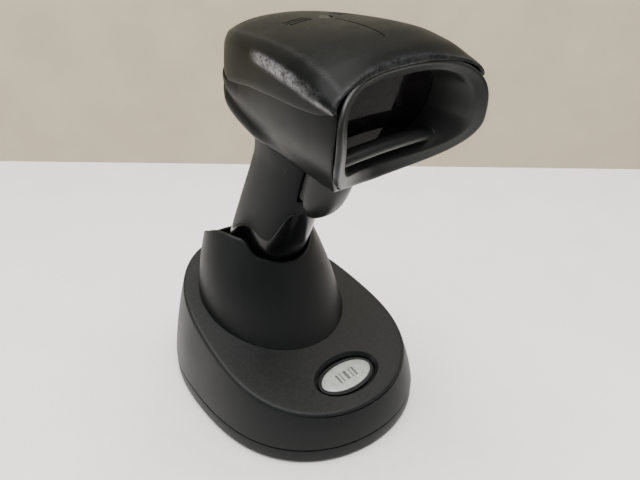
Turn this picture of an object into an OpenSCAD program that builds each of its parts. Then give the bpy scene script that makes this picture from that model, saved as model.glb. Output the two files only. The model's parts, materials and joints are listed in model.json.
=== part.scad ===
// Handheld barcode scanner standing nose-down in its charging cradle.
// The reading window faces -Y, up is +Z and the table is z = 0.
// Every part is built in one of four frames: cradle, head, grip or slope.

/* [Head] */
// Width of the head across the front lip
head_w = 70.8; // [69:0.2:72]
// Thickness of the moulded shells
wall = 2; // [1.7:0.1:2.3]
// Gap left along every parting line
seam = 0.15; // [0.1:0.05:0.25]

/* [Grip] */
// Diameter of the round cell in the grip
cell_d = 18; // [15:0.5:18.4]
// Width of the trigger
trigger_w = 20; // [17.5:0.5:21]

/* [Cradle] */
// Play around the grip inside the cup
cup_play = 0.7; // [0.6:0.1:1]
// Diameter of the two fixing holes in the underside
fix_d = 3.4; // [3:0.1:4]

/* [Hidden] */
cradle_at = [0, 20, 0];             // brings the middle of the outline to the origin
head_at = [0, -84.7, 145.7];        // these three are measured in the cradle frame
grip_at = [0, -10, 90];
slope_at = [0, -59.8, 25.66];
head_pitch = 14.72;                 // nose-down attitude of the head
grip_lean = 23;                     // forward lean of the grip
slope_tilt = 12.9;                  // tilt of the cradle top at the page button
width_scale = head_w / 70.8;        // the head tables are for a 70.8 mm lip
small_screw = [2.1, 1.1, 1];        // radii of head, shank and hex socket
large_screw = [2.5, 1.2, 1.1];

// ---------------------------------------------------------------- frames
module cradle() translate(cradle_at) children();
// x across, y back along the line of sight, z up
module head() translate(cradle_at + head_at) rotate([head_pitch, 0, 0]) children();
// z up along the grip
module grip() translate(cradle_at + grip_at) rotate([grip_lean, 0, 0]) children();
// z square to the sloping cradle top, origin at the page button
module slope() translate(cradle_at + slope_at) rotate([slope_tilt, 0, 0]) children();
// the head frame as seen from the grip frame
module head_in_grip() rotate([-grip_lean, 0, 0]) translate(head_at - grip_at)
    rotate([head_pitch, 0, 0]) children();

// ---------------------------------------------------------------- helpers
module rod(r, h, sides = 32, center = false) cylinder(r = r, h = h, center = center, $fn = sides);
module box(size) cube(size, center = true);
// turns the children's z axis to point back along +y
module along_y(y, x = 0, z = 0) translate([x, y, z]) rotate([-90, 0, 0]) children();
// repeats the children at each [x, y] of a list
module at_each(places, z = 0) for (p = places) translate([p[0], p[1], z]) children();
// head-down screw with its underside at z = 0; size is [head, shank, socket] radii
module screw(size, shank_len, socket_z, head_h = 2, shank_z = 2) difference() {
    union() {
        rod(size[0], head_h);
        translate([0, 0, shank_z]) rod(size[1], shank_len);
    }
    translate([0, 0, socket_z]) rod(size[2], 1.5, 6);
}
// spring drawn as three closed turns
module coil(r, wire_r, pitch, sides) for (i = [0:2]) translate([0, 0, i * pitch])
    rotate_extrude($fn = sides) translate([r, 0]) circle(r = wire_r, $fn = 16);

function turn(count) = [for (i = [0:count - 1]) 360 * i / count];
function signed_pow(v, power) = sign(v) * pow(abs(v), power);
function bezier(start, ctrl, end, u) =
    (1 - u) * (1 - u) * start + 2 * u * (1 - u) * ctrl + u * u * end;

// ---------------------------------------------------------------- lofts
// middle of a ring's bounding box
function middle(ring) = [for (k = [0:2])
    (max([for (p = ring) p[k]]) + min([for (p = ring) p[k]])) / 2];
// triangles between two rings of n points, given their first point numbers
function band(from, to, n) = [for (j = [0:n - 1]) each let (k = (j + 1) % n)
    [[from + j, to + k, from + k], [from + j, to + j, to + k]]];
// closed body through rings of equal point count, ends closed by fans
module loft(rings, reverse = false) {
    n = len(rings[0]);
    last = (len(rings) - 1) * n;
    hub = last + n;
    points = concat([for (r = rings) each r], [middle(rings[0]), middle(rings[len(rings) - 1])]);
    faces = concat([for (i = [0:len(rings) - 2]) each band(i * n, (i + 1) * n, n)],
        [for (j = [0:n - 1]) [(j + 1) % n, hub, j]],
        [for (j = [0:n - 1]) [last + j, hub + 1, last + (j + 1) % n]]);
    polyhedron(points, reverse ? [for (f = faces) [f[0], f[2], f[1]]] : faces, convexity = 8);
}
// ring-shaped body: the last ring joins back to the first
module loft_ring(rings) {
    n = len(rings[0]);
    m = len(rings);
    polyhedron([for (r = rings) each r],
        [for (i = [0:m - 1]) each band(i * n, ((i + 1) % m) * n, n)], convexity = 8);
}

// ---------------------------------------------------------------- head surfaces
// Heights and half widths against y, the distance back from the nose.
// In all surfaces below, inset draws the surface in and a negative inset grows it.
function crown_z(y) = lookup(y, [[-8, 20.6], [0, 22.8], [10, 24.6], [16, 26], [23, 26.4],
    [31, 25.3], [46, 21.2], [66, 14.4], [80, 7.8], [86, 3.8], [90, 0.2], [93, -4], [95, -9],
    [95.8, -14]]);
function side_x(y) = width_scale * lookup(y, [[-8, 35.4], [0, 35.4], [10, 35.1], [25, 33.9],
    [40, 31.6], [55, 28.4], [70, 24.3], [80, 20.4], [86, 17], [90, 13.5], [93, 9.5], [95, 5],
    [95.8, 2]]);
// widest line of the cover
function bulge_z(y) = lookup(y, [[-8, 18.6], [0, 18.2], [10, 17.3], [20, 15.9], [31, 14.4],
    [44, 11.6], [54, 8.8], [66, 5], [76, 1], [85, -4], [92, -9], [95.8, -14]]);
// line where cover and housing meet
function parting_z(y) = lookup(y, [[-8, 16.5], [0, 15.8], [4, 14.6], [8, 12.2], [19, 8.2],
    [30, 4.8], [43, 0.3], [52, -3.1], [66, -9.6], [79, -15.2], [90, -16.5], [95.8, -16]]);
function under_z(y) = lookup(y, [[-8, -23], [0, -23.6], [8, -24.8], [12, -26.4], [18, -29.4],
    [64, -34.8], [78, -34.3], [84, -31.8], [88, -28.5], [92, -24], [94.6, -20], [95.8, -17.5]]);
// lower corner of the housing's sides
function keel_x(y) = width_scale * lookup(y, [[-8, 26], [2, 24.5], [9, 22], [16, 20.4],
    [34, 20.3], [47, 19.9], [57, 19.6], [64, 19.3], [72, 18.7], [80, 17.5], [85, 15.6],
    [88, 13.7], [92, 9.9], [94.6, 5.6], [95.8, 2.4]]);
function keel_z(y) = lookup(y, [[-8, -15], [2, -17.5], [9, -20.5], [16, -22.9], [34, -23.4],
    [57, -23.2], [70, -22.8], [80, -21.5], [88, -19.6], [93, -18.3], [95.8, -16.8]]);
// crease between crown and shoulder: inset from the side, height
function crease_in(y) = lookup(y, [[-8, 5.3], [8, 5.3], [27, 4.6], [37, 4.5], [48, 4.1],
    [63, 3.4], [80, 2.2], [95.8, 0.3]]);
function crease_z(y) = lookup(y, [[-8, 19.5], [0, 20], [8, 20.9], [16, 22], [27, 21.4],
    [37, 19.3], [48, 16.4], [63, 11], [80, 3.9], [86, 0.4], [92, -6], [95.8, -14]]);
// step in from the cover's side to the housing's
function house_in(y) = lookup(y, [[-8, 3.2], [67, 3.2], [73, 2.2], [78, 0.7], [95.8, 0.3]]);
first_station = 14;
stations = [first_station, 20, 27, 35, 43, 51, 59, 67, 74, 80, 85, 89, 92, 94, 95.2];
function stations_to(rear_cut) = [for (y = stations) if (y < 95.3 - rear_cut) y];
// the front of the lip curves back towards top and bottom
function lip_y(x, z) = 3.14 + 1.07 * z / 30 + 11.22 * pow(z / 30, 2) - 7.42 * pow(x / 35, 2);
// front edge of the shells at the section point p = [x, z]
function edge_y(p) = 2.6 + 0.66 * lip_y(p[0], p[1]);

// half ring completed by its mirror image in x
function mirrored(half) = concat(half, [for (i = [len(half) - 1:-1:1])
    if (half[i][0] > 0.001) [-half[i][0], half[i][1], half[i][2]]]);
function section_ring(half, y) = mirrored([for (p = half) [p[0], y, p[1]]]);

// half section of the cover as [x, z]: crown, crease, shoulder, bulge, parting line
function cover_half(y, inset, drop) = let (
        side = side_x(y) - inset,
        crown = crown_z(y) - inset,
        bulge = bulge_z(y),
        parting = parting_z(y) - drop,
        crease = [side - crease_in(y) + 0.3 * inset, crease_z(y) - 0.8 * inset],
        ctrl = [side, crease[1] * 0.45 + bulge * 0.55])
    concat([for (i = [0:6]) let (k = pow(i / 6, 0.8))
            [crease[0] * k, crown - (crown - crease[1]) * pow(k, 2.6)]],
        [for (i = [1:5]) bezier(crease, ctrl, [side, bulge], i / 5)],
        [[side - 0.3, bulge + (parting - bulge) * 0.5], [side - 1.2, parting]]);
// the same at the front edge, following the round shoulders of the lip
function front_half(inset, drop) = let (power = 0.833 - 0.08 * inset)
    concat([for (i = [0:11]) let (u = i < 7 ? 43.4 * pow(i / 6, 0.9) : 43.4 + 8.12 * (i - 6))
            [(34.9 * width_scale - inset) * pow(sin(u), power),
            14.6 + (8.9 - inset) * pow(cos(u), power)]],
        [[34.85 * width_scale - inset, 15.6 - drop * 0.5],
        [34.2 * width_scale - inset, 15.3 - drop]]);
// ring from the front edge (k = 0) to the first station (k = 1), rolled over at the edge
function cover_front(k, inset, drop, reach) = let (front = front_half(inset, drop))
    mirrored([for (i = [0:13]) let (
        edge = front[i],
        start = edge_y(edge),
        y = start + (first_station - start) * k,
        base = cover_half(start, inset, drop)[i],
        here = cover_half(y, inset, drop)[i],
        roll = 1 - sqrt(1 - (1 - k) * (1 - k)))
        [here[0] + (edge[0] - base[0]) * roll, y - reach * (1 - k),
        here[1] + (edge[1] - base[1]) * roll]]);
// reach carries a cutter out past the front, rear_cut ends the body short of the back
module cover_solid(inset = 0, drop = 0, reach = 0, rear_cut = 0) loft(concat(
    reach > 0 ? [cover_front(0, inset, drop, reach)] : [],
    [for (k = [0, 0.08, 0.28, 0.6]) cover_front(k, inset, drop, 0)],
    [for (y = stations_to(rear_cut)) section_ring(cover_half(y, inset, drop), y)]));

// half section of the housing as [x, z]: parting line, side, keel, underside
function house_half(y, inset, lift) = let (
        top_x = side_x(y) - house_in(y) - inset,
        top = parting_z(y) + lift,
        low_x = keel_x(y) - inset * 0.8,
        low = keel_z(y) + inset * 0.45,
        rise = under_z(y) + inset - low,
        roundness = lookup(y, [[25, 0], [45, 0.4], [60, 1], [95, 1]]),
        swell = lookup(y, [[0, 3.4], [30, 1.6], [95, 0.4]]))
    concat([[0, top]],
        [for (i = [0:5]) let (t = i / 6)
            [top_x + (low_x - top_x) * t + swell * sin(180 * t),
            top + (low - top) * t - swell * 0.4 * sin(180 * t)]],
        [for (i = [0:5]) let (t = i / 5,
            flat = [low_x * (1 - t * t * 0.55 - t * 0.45), low + rise * (1 - pow(1 - t, 2.2))],
            full = [low_x * pow(cos(90 * t), 0.6) * (1 + 0.12 * sin(180 * t)),
                low + rise * sin(90 * t)])
            flat + (full - flat) * roundness]);
// ring from the front edge (k = 0) to the first station (k = 1); the chin is set back
function house_front(k, inset, lift, reach) = mirrored([for (i = [0:12]) let (
    guess = house_half(7, inset, lift)[i],
    edge = house_half(edge_y(guess), inset, lift)[i],
    start = edge_y(edge) - reach + 0.36 * max(0, -edge[1] - 18),
    y = start + (first_station - start) * k,
    here = house_half(y, inset, lift)[i])
    [here[0], y, here[1]]]);
// a negative reach sets the front edge back
module house_solid(inset = 0, lift = 0, reach = 0, rear_cut = 0) loft(concat(
    [house_front(0, inset, lift, reach)],
    [for (k = [0.28, 0.6]) house_front(k, inset, lift, min(reach, 0))],
    [for (y = stations_to(rear_cut)) section_ring(house_half(y, inset, lift), y)]));

// ---------------------------------------------------------------- head shells
head_screws_at = [[-7, 76], [7, 76]];
lamp_at = [[0, 50]];
house_setback = 0.6;

module top_cover() color("#3a3b3d") head() difference() {
    union() {
        difference() {
            cover_solid();
            cover_solid(inset = wall - 0.2, drop = 6, reach = 9, rear_cut = 3);
        }
        at_each(head_screws_at, -8) rod(2.6, 14.5);
    }
    at_each(head_screws_at, -8.5) rod(1.1, 11);
    // sound slots, three each side of the status lamp
    for (i = [0:2], x = [-10.6, 10.6]) translate([x, 50.4 + 2.1 * i, 20]) box([9.6, 0.9, 16]);
    at_each(lamp_at, 15) rod(2.5, 12, 40);
}

module head_housing() color("#2f3032") head() difference() {
    union() {
        difference() {
            house_solid(lift = -seam, reach = -house_setback);
            house_solid(inset = wall, lift = 3, reach = 9, rear_cut = 2.5);
        }
        intersection() {
            house_solid(inset = 0.6, lift = -seam, reach = -house_setback);
            union() {
                at_each(head_screws_at, -36) rod(3.2, 27.6);
                // rails that carry the engine
                for (x = [-11, 11]) translate([x, 32, -26.1]) box([3, 20, 17.8]);
            }
        }
    }
    at_each(head_screws_at, -40) {
        rod(1.45, 40);
        rod(2.3, 14.1);
    }
    // way through to the grip
    translate([0, 49, -33]) box([13, 20, 12]);
}

module head_screws() color("#b9bcc0") head() at_each(head_screws_at, -28)
    screw(small_screw, shank_len = 28, socket_z = -0.6);

// ---------------------------------------------------------------- nose
lip_points = 56;
lip_top = 19.12;        // reach of the lip above and below its widest line
lip_chin = 26.87;
lip_mid_z = 2.51;

// outline of the lip as [x, z]: flat crown, round shoulders, narrow chin
function lip_xz(t) = let (
        upper = cos(t) > 0,
        power = upper ? 0.503 : 1.383,
        z = (upper ? lip_top : lip_chin) * signed_pow(cos(t), power),
        x = width_scale * 35.03 * signed_pow(sin(t), power)
            * (1 + 0.24 * max(-z, 0) / lip_chin))
    [x, z + lip_mid_z];
// lip outline drawn in and set back, no further back than limit
function lip_ring(inset, back, limit = 99) = [for (t = turn(lip_points)) let (
    p = lip_xz(t), k = 1 - inset / norm(p))
    [p[0] * k, min(limit, lip_y(p[0], p[1]) + back), p[1] * k]];
// outline of the window, drawn in by inset
function pane_outline(inset) = [for (t = turn(lip_points)) let (
    p = lip_xz(t), q = [p[0] * 0.72, p[1] * 0.74])
    q * (1 - inset / norm(q))];
function pane_ring(inset, y) = [for (p = pane_outline(inset)) [p[0], y, p[1]]];
// rounded section of the ledge at x, crowned towards the middle
function ledge_ring(x) = [for (t = turn(24)) let (
    c = cos(t), z = 1.6 * (1 - pow(x / 27, 2)))
    [x, 8.6 - (2.9 + (c < 0 ? 1 : 0)) * c - 0.1 * z, -9.6 + z + 2.1 * sin(t) + 0.12 * c]];
// window-shaped slab from y back over depth
module pane(y, depth, inset) translate([0, y + depth, 0]) rotate([90, 0, 0])
    linear_extrude(depth) polygon(pane_outline(inset));

module nose_bezel() color("#26272a") head() {
    difference() {
        loft([lip_ring(2.2, 0.25), lip_ring(0.7, 0), lip_ring(0, 0.8), lip_ring(0.8, 1.9),
            lip_ring(3.6, 2.8), lip_ring(4.9, 3.8, 13.9), lip_ring(5.5, 5.4, 15.2),
            pane_ring(-2, 16.6)]);
        loft([lip_ring(1.7, -8), lip_ring(1.7, 0.4), lip_ring(4.9, 1.9), lip_ring(5.7, 2.9),
            lip_ring(6.4, 4.6, 14), pane_ring(0.6, 15.2), pane_ring(-0.8, 15.2),
            pane_ring(-0.8, 18)]);
    }
    // rounded ledge across the mouth under the window
    intersection() {
        loft([for (x = [-32:4:32]) ledge_ring(x)], reverse = true);
        loft([lip_ring(5.9, -8), lip_ring(5.9, 3), lip_ring(6, 4.8, 14.2), pane_ring(0, 15.6)]);
    }
}
module exit_window() color("#15161a") head() pane(15.25, 1.2, -0.7);
module window_gasket() color("#0c0c0d") head() difference() {
    pane(16.7, 1.2, -1.8);
    pane(16, 3, 1.2);
}

// ---------------------------------------------------------------- engine
// The lens axis is the y axis of the head frame.
engine_z = -4;          // middle height of chassis and sensor board
leds_x = [-12, 12];
aimer_z = -11.5;
lens_r = 9.5;           // curvature of the lens face

module engine_chassis() color("#3d4043") head() difference() {
    translate([0, 33, engine_z]) box([34, 22, 26]);
    along_y(21) rod(6.6, 24, 48);
    translate([0, 38.5, 0]) box([20, 13, 16]);
    for (x = leds_x) along_y(21, x) rod(2.3, 8);
    along_y(21, z = aimer_z) rod(2.8, 14);
}
module lens_barrel() color("#1d1e20") head() difference() {
    union() {
        along_y(21.4) rod(6.55, 9.5, 48);
        along_y(20.2) rod(7.6, 1.75, 48);
    }
    along_y(19) rod(4.6, 8, 48);
    along_y(26) rod(3.4, 8, 48);
}
module lens_glass() color("#2b4a63") head() along_y(23.5) intersection() {
    rod(4.55, 3.4, 48);
    translate([0, 0, 9.4]) sphere(r = lens_r, $fn = 48);
}
module image_sensor_board() color("#1f5c3a") head() {
    translate([0, 45.6, engine_z]) box([32, 1.4, 24]);
    translate([0, 44, 0]) box([11, 1.8, 9]);
}
module illumination_leds() color("#e9e4c8") head() for (x = leds_x) {
    along_y(22.2, x) rod(2.2, 4);
    // domed front
    along_y(22.3, x) rotate([180, 0, 0]) intersection() {
        translate([0, 0, -0.6]) sphere(r = 2.25, $fn = 32);
        rod(2.3, 3);
    }
}
module aimer_module() color("#8b7440") head() difference() {
    along_y(21.2, z = aimer_z) rod(2.7, 12);
    along_y(20, z = aimer_z) rod(1.2, 5);
}

// ---------------------------------------------------------------- head electronics
module main_board() color("#1c5a38") head() difference() {
    translate([0, 65, -4.2]) box([26, 30, 1.6]);
    at_each(head_screws_at, -6) rod(3.2, 4);
}
module radio_module() color("#a9adb1") head() difference() {
    translate([0, 57, -2.1]) box([16, 11, 2.6]);
    translate([0, 55, 0]) box([10, 4, 1]);
}
module beeper() color("#191a1b") head() translate([0, 69, -3.4]) difference() {
    rod(5.2, 5.5, 48);
    translate([0, 0, 3.5]) rod(1.2, 5);
}
// side view of the ribbon: y, z
flex_outline = [[46.4, -14], [46.6, -14], [48.5, -10], [48.9, -5.5], [52, -5.25],
    [52, -5.05], [48.7, -5.1], [48.3, -9.9]];
module flex_cable() color("#b87333") head() translate([5, 0, 0]) rotate([90, 0, 90])
    linear_extrude(8, center = true) polygon(flex_outline);
module status_light_pipe() color("#d7efe2") head() {
    at_each(lamp_at, 16) rod(2.4, 3.6, 40);
    at_each(lamp_at) rod(1.5, 16.1, 40);
}

// ---------------------------------------------------------------- grip
grip_points = 40;
cap_screw_at = [[0, 13.2]];
pins_at = [for (i = [-1.5:1.5]) [4 * i, -2]];   // row of four charging contacts
cell_at = [[0, -3.6]];
cell_z = -54;
cell_len = 60;
cell_nub = 1.6;

// side profile and half width against height along the grip
function rear_y(z) = lookup(z, [[-60, 18.8], [-30, 18.9], [0, 17.9], [26, 16.8], [33, 18.4],
    [38, 21], [44, 25]]);
function front_y(z) = lookup(z, [[-60, -17.6], [-30, -18], [0, -18.3], [14, -18.3],
    [30, -17.4], [50, -16.5]]);
function grip_x(z) = lookup(z, [[-60, 15], [-20, 15.1], [10, 14.8], [30, 14.6], [44, 16]]);
// point of the slightly pointed oval with half sizes rx, ry about y = mid_y
function grip_oval(t, rx, ry, mid_y) =
    [rx * signed_pow(sin(t), 0.84), mid_y - ry * signed_pow(cos(t), 0.84)];
function grip_ring(z, inset) = [for (t = turn(grip_points)) let (
    p = grip_oval(t, grip_x(z) - inset, (rear_y(z) - front_y(z)) / 2 - inset,
        (rear_y(z) + front_y(z)) / 2))
    [p[0], p[1], z]];
// grip from bottom to top, with a rounded foot where it runs down to the end
module grip_solid(inset, bottom, top) loft(concat(
    bottom < -59 ? [grip_ring(-59.5, inset + 1.6), grip_ring(-58.9, inset + 0.5)]
        : [grip_ring(bottom, inset)],
    [for (z = [-57, -40, -24, -8, 2, 14, 24, 33, 38]) if (z > bottom && z < top)
        grip_ring(z, inset)],
    [grip_ring(top, inset)]));

// side view of the joint between grip shell and battery cap, raised by gap: y, z
function cap_line(gap) = [[-40, 15.3 + gap], [-17.8 + gap * 0.3, 15.2 + gap],
    [-16.2 + gap, 14 + gap * 0.5], [-15.3 + gap, 10.5], [-14.5 + gap, 5],
    [-13.3 + gap, -2 + gap * 0.3], [-12 + gap * 0.7, -5.6 + gap], [-9, -6 + gap],
    [-5, -5.4 + gap], [-1, -6.2 + gap], [4 + gap * 0.5, -9.4 + gap],
    [8 + gap * 0.7, -15.6 + gap * 0.7], [12 + gap, -22.6 + gap], [40, -23 + gap]];
// everything between the joint and the level z = limit
module cap_side(gap, limit) translate([-30, 0, 0]) rotate([90, 0, 90]) linear_extrude(60)
    polygon(concat(cap_line(gap), [[40, limit], [-40, limit]]));

module handle_shell() color("#37383a") grip() difference() {
    union() {
        difference() {
            intersection() {
                grip_solid(0, -24, 48);
                cap_side(seam, 70);
            }
            grip_solid(wall, -40, 60);
            head_in_grip() house_solid(inset = -0.2);
        }
        // bosses for the trigger pin and the cap screw
        on_pivot() for (x = [-11.7, 11.7]) translate([0, 0, x]) rod(2.8, 2, center = true);
        at_each(cap_screw_at, -12) rod(2.9, 14);
        translate([-5.5, 13.4, -11.5]) cube([11, 2.4, 13]);
    }
    // opening for the trigger arm
    translate([0, -20, 38.5]) box([15.4, 16, 33]);
    on_pivot() rod(trigger_pin_r, 24.6, center = true);
    at_each(cap_screw_at, -13) rod(1.1, 12);
}
module battery_cap() color("#1b1c1e") grip() difference() {
    union() {
        difference() {
            intersection() {
                grip_solid(0, -60, 16);
                cap_side(0, -90);
            }
            grip_solid(wall, -57, 30);
        }
        // screw post behind the cell
        at_each(cap_screw_at, -59) rod(2.9, 46.6);
    }
    at_each(cap_screw_at, -61) {
        rod(1.4, 60);
        rod(2.4, 38);
    }
    at_each(pins_at, -61) rod(1.5, 6);
}
module battery_cell() color("#2d6aa0") grip() at_each(cell_at, cell_z) {
    rod(cell_d / 2, cell_len, 64);
    translate([0, 0, cell_len]) rod(3, cell_nub, 48);
}
module battery_contacts() color("#c9b37a") grip() {
    at_each(cell_at, cell_z + cell_len + cell_nub + 0.1) rod(4.5, 0.5, 48);
    at_each(cell_at, cell_z - 0.8) rod(6, 0.6, 48);
}
module cap_screw() color("#b9bcc0") grip() at_each(cap_screw_at, -25.2)
    screw(small_screw, shank_len = 20, socket_z = -0.6, head_h = 2.1);
module charge_pads() color("#d8b55a") grip() at_each(pins_at, -59.3) rod(1.45, 2.6);

// ---------------------------------------------------------------- trigger
trigger_pivot = [0, -8, 36.2];      // in the grip frame
trigger_pin_r = 1.5;
switch_z = 22;
// finger pad: height, half width, front y, back y
pad_sections = [[18.6, 3.2, -24.4, -22.5], [19.3, 5.4, -25.6, -21.9],
    [21, 7.3, -27.1, -21.4], [24, 8.9, -28.8, -21], [28, 9.8, -30, -20.7],
    [33, 10.1, -30.8, -20.2], [39, 10.1, -31.2, -19.7], [43, 10, -31, -19.4]];
// side view of the arm that reaches in to the pivot: y, z
arm_outline = [[-22.2, 25], [-15.9, 24.5], [-13.6, 22.4], [-10.4, 22.6], [-9, 26],
    [-5, 31.5], [-4.2, 36], [-5.4, 38.9], [-10, 39.9], [-22.4, 41]];

// turns the children's z axis to lie across, on the pivot
module on_pivot() translate(trigger_pivot) rotate([0, 90, 0]) children();
function pad_ring(s) = [for (t = turn(32)) let (
    c = cos(t), front = c > 0, side_y = s[3] - 1)
    [trigger_w / 20 * s[1] * signed_pow(sin(t), front ? 0.9 : 0.5),
    front ? side_y - (side_y - s[2]) * pow(c, 0.9) : side_y + pow(-c, 0.5),
    s[0]]];
module trigger() color("#2a2b2d") grip() difference() {
    union() {
        difference() {
            loft([for (s = pad_sections) pad_ring(s)]);
            // top trimmed to clear the underside of the head
            head_in_grip() translate([0, 40, -32.9]) rotate([-6.2, 0, 0])
                translate([0, 0, 9]) box([60, 90, 20]);
        }
        translate([-7, 0, 0]) rotate([90, 0, 90]) linear_extrude(14) polygon(arm_outline);
    }
    on_pivot() rod(trigger_pin_r + 0.05, 30, center = true);
}
module trigger_pin() color("#c3c6ca") grip() on_pivot() rod(trigger_pin_r, 24.4, center = true);
module trigger_spring() color("#c3c6ca") grip() on_pivot() translate([0, 0, 7.6])
    coil(2.2, 0.42, pitch = 0.8, sides = 40);
module trigger_switch() color("#202124") grip() difference() {
    union() {
        translate([0, -1.6, switch_z]) box([12.6, 6, 8]);
        translate([0, 2.2, 24]) box([18, 1.6, 18]);
    }
    along_y(-4.8, z = switch_z) rod(1.35, 5);
}
module switch_plunger() color("#b3202a") grip() along_y(-9.25, z = switch_z) rod(1.3, 6.8);

// ---------------------------------------------------------------- cradle base
base_points = 64;
plate_z = 0.8;
plate_top = 7.25;
floor_z = 2;            // foot of the posts inside the plate
board_z = 8.6;
board_t = 1.6;
board_top = board_z + board_t;
jack_z = 17;
host_x = -9;
power_x = 8.5;
plate_corners = [[-36, -52], [36, -52], [-33, 22], [33, 22]];
plate_screws_at = [for (p = plate_corners) [p[0] * 0.92, p[1] * 0.98]];
neck_screws_at = [[-19.6, -23], [19.6, -23], [-27, 8], [27, 8]];
board_posts_at = [for (x = [-17, 17], y = [-40, 2]) [x, y]];
fixings_at = [[0, -34], [0, 16]];
feet_at = [[-28, -62], [28, -62], [-40, -18], [40, -18], [-24, 34], [24, 34]];

// radius of the base by angle from the front; k = 0 at the foot, 1 at the ridge
function base_r(t, k) = 58.7 - 3.64 * cos(t) + 7.66 * cos(2 * t) - 1.81 * cos(3 * t)
    - 0.25 * cos(4 * t) - 0.19 * cos(5 * t) - k * (6.18 - 1.61 * cos(t) + 0.17 * cos(2 * t));
function base_xy(t, k, inset) = let (r = base_r(t, k) - inset)
    [r * sin(t), -20.57 - r * cos(t)];
function foot_outline(inset) = [for (t = turn(base_points)) base_xy(t, 0, inset)];
// height of the sloping roof at its ridge, and with its slight crown
function roof_z(y) = let (s = (y + 14) / 66) 36.5 + 16.12 * s + 0.71 * s * s;
function crowned_z(x, y) =
    roof_z(y) + 0.6 * max(0, 1 - pow(x / 44.6, 2) - pow((y + 16) / 60, 2));
// wall ring at fraction k of the way up to the ridge, slightly convex
function wall_ring(k, inset, bottom) = [for (t = turn(base_points)) let (
    ridge_z = roof_z(base_xy(t, 1, inset)[1]) - inset,
    p = base_xy(t, k * k * 0.45 + k * 0.55, inset))
    [p[0], p[1], bottom + (ridge_z - bottom) * k]];
// roof ring, k = 1 at the ridge, 0 at the middle
function roof_ring(k, inset) = [for (t = turn(base_points)) let (
    p = base_xy(t, 1, inset), y = -16 + (p[1] + 16) * k)
    [p[0] * k, y, roof_z(y) - inset + 0.6 * (1 - k * k)]];
module base_solid(inset, bottom) loft(concat(
    [for (k = [0, 0.25, 0.5, 0.75]) wall_ring(k, inset, bottom)],
    [for (k = [1, 0.96, 0.7, 0.4, 0.1]) roof_ring(k, inset)]));

module base_cover() color("#34363a") difference() {
    union() {
        cradle() {
            difference() {
                base_solid(0, plate_top + seam);
                base_solid(wall, -6);
            }
            for (i = [0:3]) at_each([plate_screws_at[i]], 7.4)
                rod(3, roof_z(plate_corners[i][1]) - 9);
        }
        slope() {
            at_each(page_posts_at, -9) rod(1.8, 8.2);
            oval_plate(-2.95, 2.5, [19.3, 12.4]);
        }
    }
    cradle() {
        at_each(plate_screws_at, 5) rod(1.2, 14);
        at_each(neck_screws_at, 20) rod(1.7, 30);
        // sockets in the back wall
        translate([host_x, 47, jack_z]) box([13, 22, 12]);
        along_y(38, power_x, jack_z) rod(4, 20, 40);
    }
    // way through for the cup
    grip() translate([0, 0, -76]) linear_extrude(60)
        polygon([for (t = turn(grip_points)) cup_xy(t, cup_play + 2.2)]);
    // oval well and guide for the page button
    slope() {
        oval_plate(-1.9, 8, [16.6, 9.8]);
        oval_plate(-8, 8, button_size + [0.3, 0.3]);
    }
}
module base_plate() color("#2c2d30") cradle() difference() {
    union() {
        difference() {
            translate([0, 0, plate_z]) linear_extrude(plate_top - plate_z)
                polygon(foot_outline(0.15));
            translate([0, 0, 2.8]) linear_extrude(6) polygon(foot_outline(2.4));
        }
        at_each(plate_screws_at, floor_z) rod(3.4, 5.3);
        at_each(board_posts_at, floor_z) rod(2.4, board_z - floor_z);
        at_each(fixings_at, floor_z) rod(4.4, 5.2);
    }
    at_each(plate_screws_at) {
        rod(1.5, 9);
        rod(2.8, 4.4);
    }
    at_each(feet_at, -1) rod(5.05, 3, 48);
    // blind holes for fixing the cradle to a counter or a stand
    at_each(fixings_at) rod(fix_d / 2, 6.4);
}
module rubber_feet() color("#101011") cradle() {
    at_each(feet_at) rod(4.6, 0.4, 48);
    at_each(feet_at, 0.4) rod(5, 1.6, 48);
}
module plate_screws() color("#b9bcc0") cradle() at_each(plate_screws_at, 2.4)
    screw(large_screw, shank_len = 12, socket_z = -0.4);

module base_board() color("#1c5a38") cradle() difference() {
    union() {
        translate([-22, -45, board_z]) cube([44, 80, board_t]);
        translate([-14, -30, board_top - 0.1]) cube([12, 12, 1.7]);
        translate([3, -34, board_top - 0.1]) cube([7, 9, 1.3]);
    }
    at_each(board_posts_at, 8) rod(1.2, 4);
}
module host_jack() color("#1a1b1d") cradle() difference() {
    translate([host_x - 6, 24, board_top]) cube([12, 19.4, 12.4]);
    translate([host_x - 4.2, 34, 13.2]) cube([8.4, 12, 7]);
}
module power_jack() color("#1a1b1d") cradle() difference() {
    union() {
        translate([power_x - 4.5, 26, board_top]) cube([9, 13, 10.8]);
        along_y(38, power_x, jack_z) rod(3.7, 5.6, 40);
    }
    along_y(33, power_x, jack_z) rod(2.7, 12, 40);
}

// ---------------------------------------------------------------- neck
neck_points = 60;
// height of the rim by angle from the front, the same on both sides
function rim_z(t) = lookup(abs(t > 180 ? t - 360 : t), [[0, 67.5], [11, 68], [21, 69],
    [30, 70.3], [35, 71], [40, 72.4], [44, 74.6], [48, 77.2], [53, 78.3], [60, 78.7],
    [72, 79.3], [88, 78.5], [96, 77.4], [105, 75.6], [115, 73.6], [124, 71.8], [135, 69.2],
    [150, 65.4], [165, 62.4], [180, 61.2]]);
// neck surface at angle t and height z: a tapering, slightly bulged oval
function neck_point(t, z, inset) = let (
        q = (z - 36) / 41.7,
        bulge = sin(180 * min(1, max(0, q))),
        rx = 34.9 - 10.9 * q + 1.3 * bulge - inset,
        ry = 35.8 - 11.8 * q + 1.1 * bulge - inset)
    [rx * sin(t), -1.7 + 8.6 * q - ry * cos(t), z];
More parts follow.
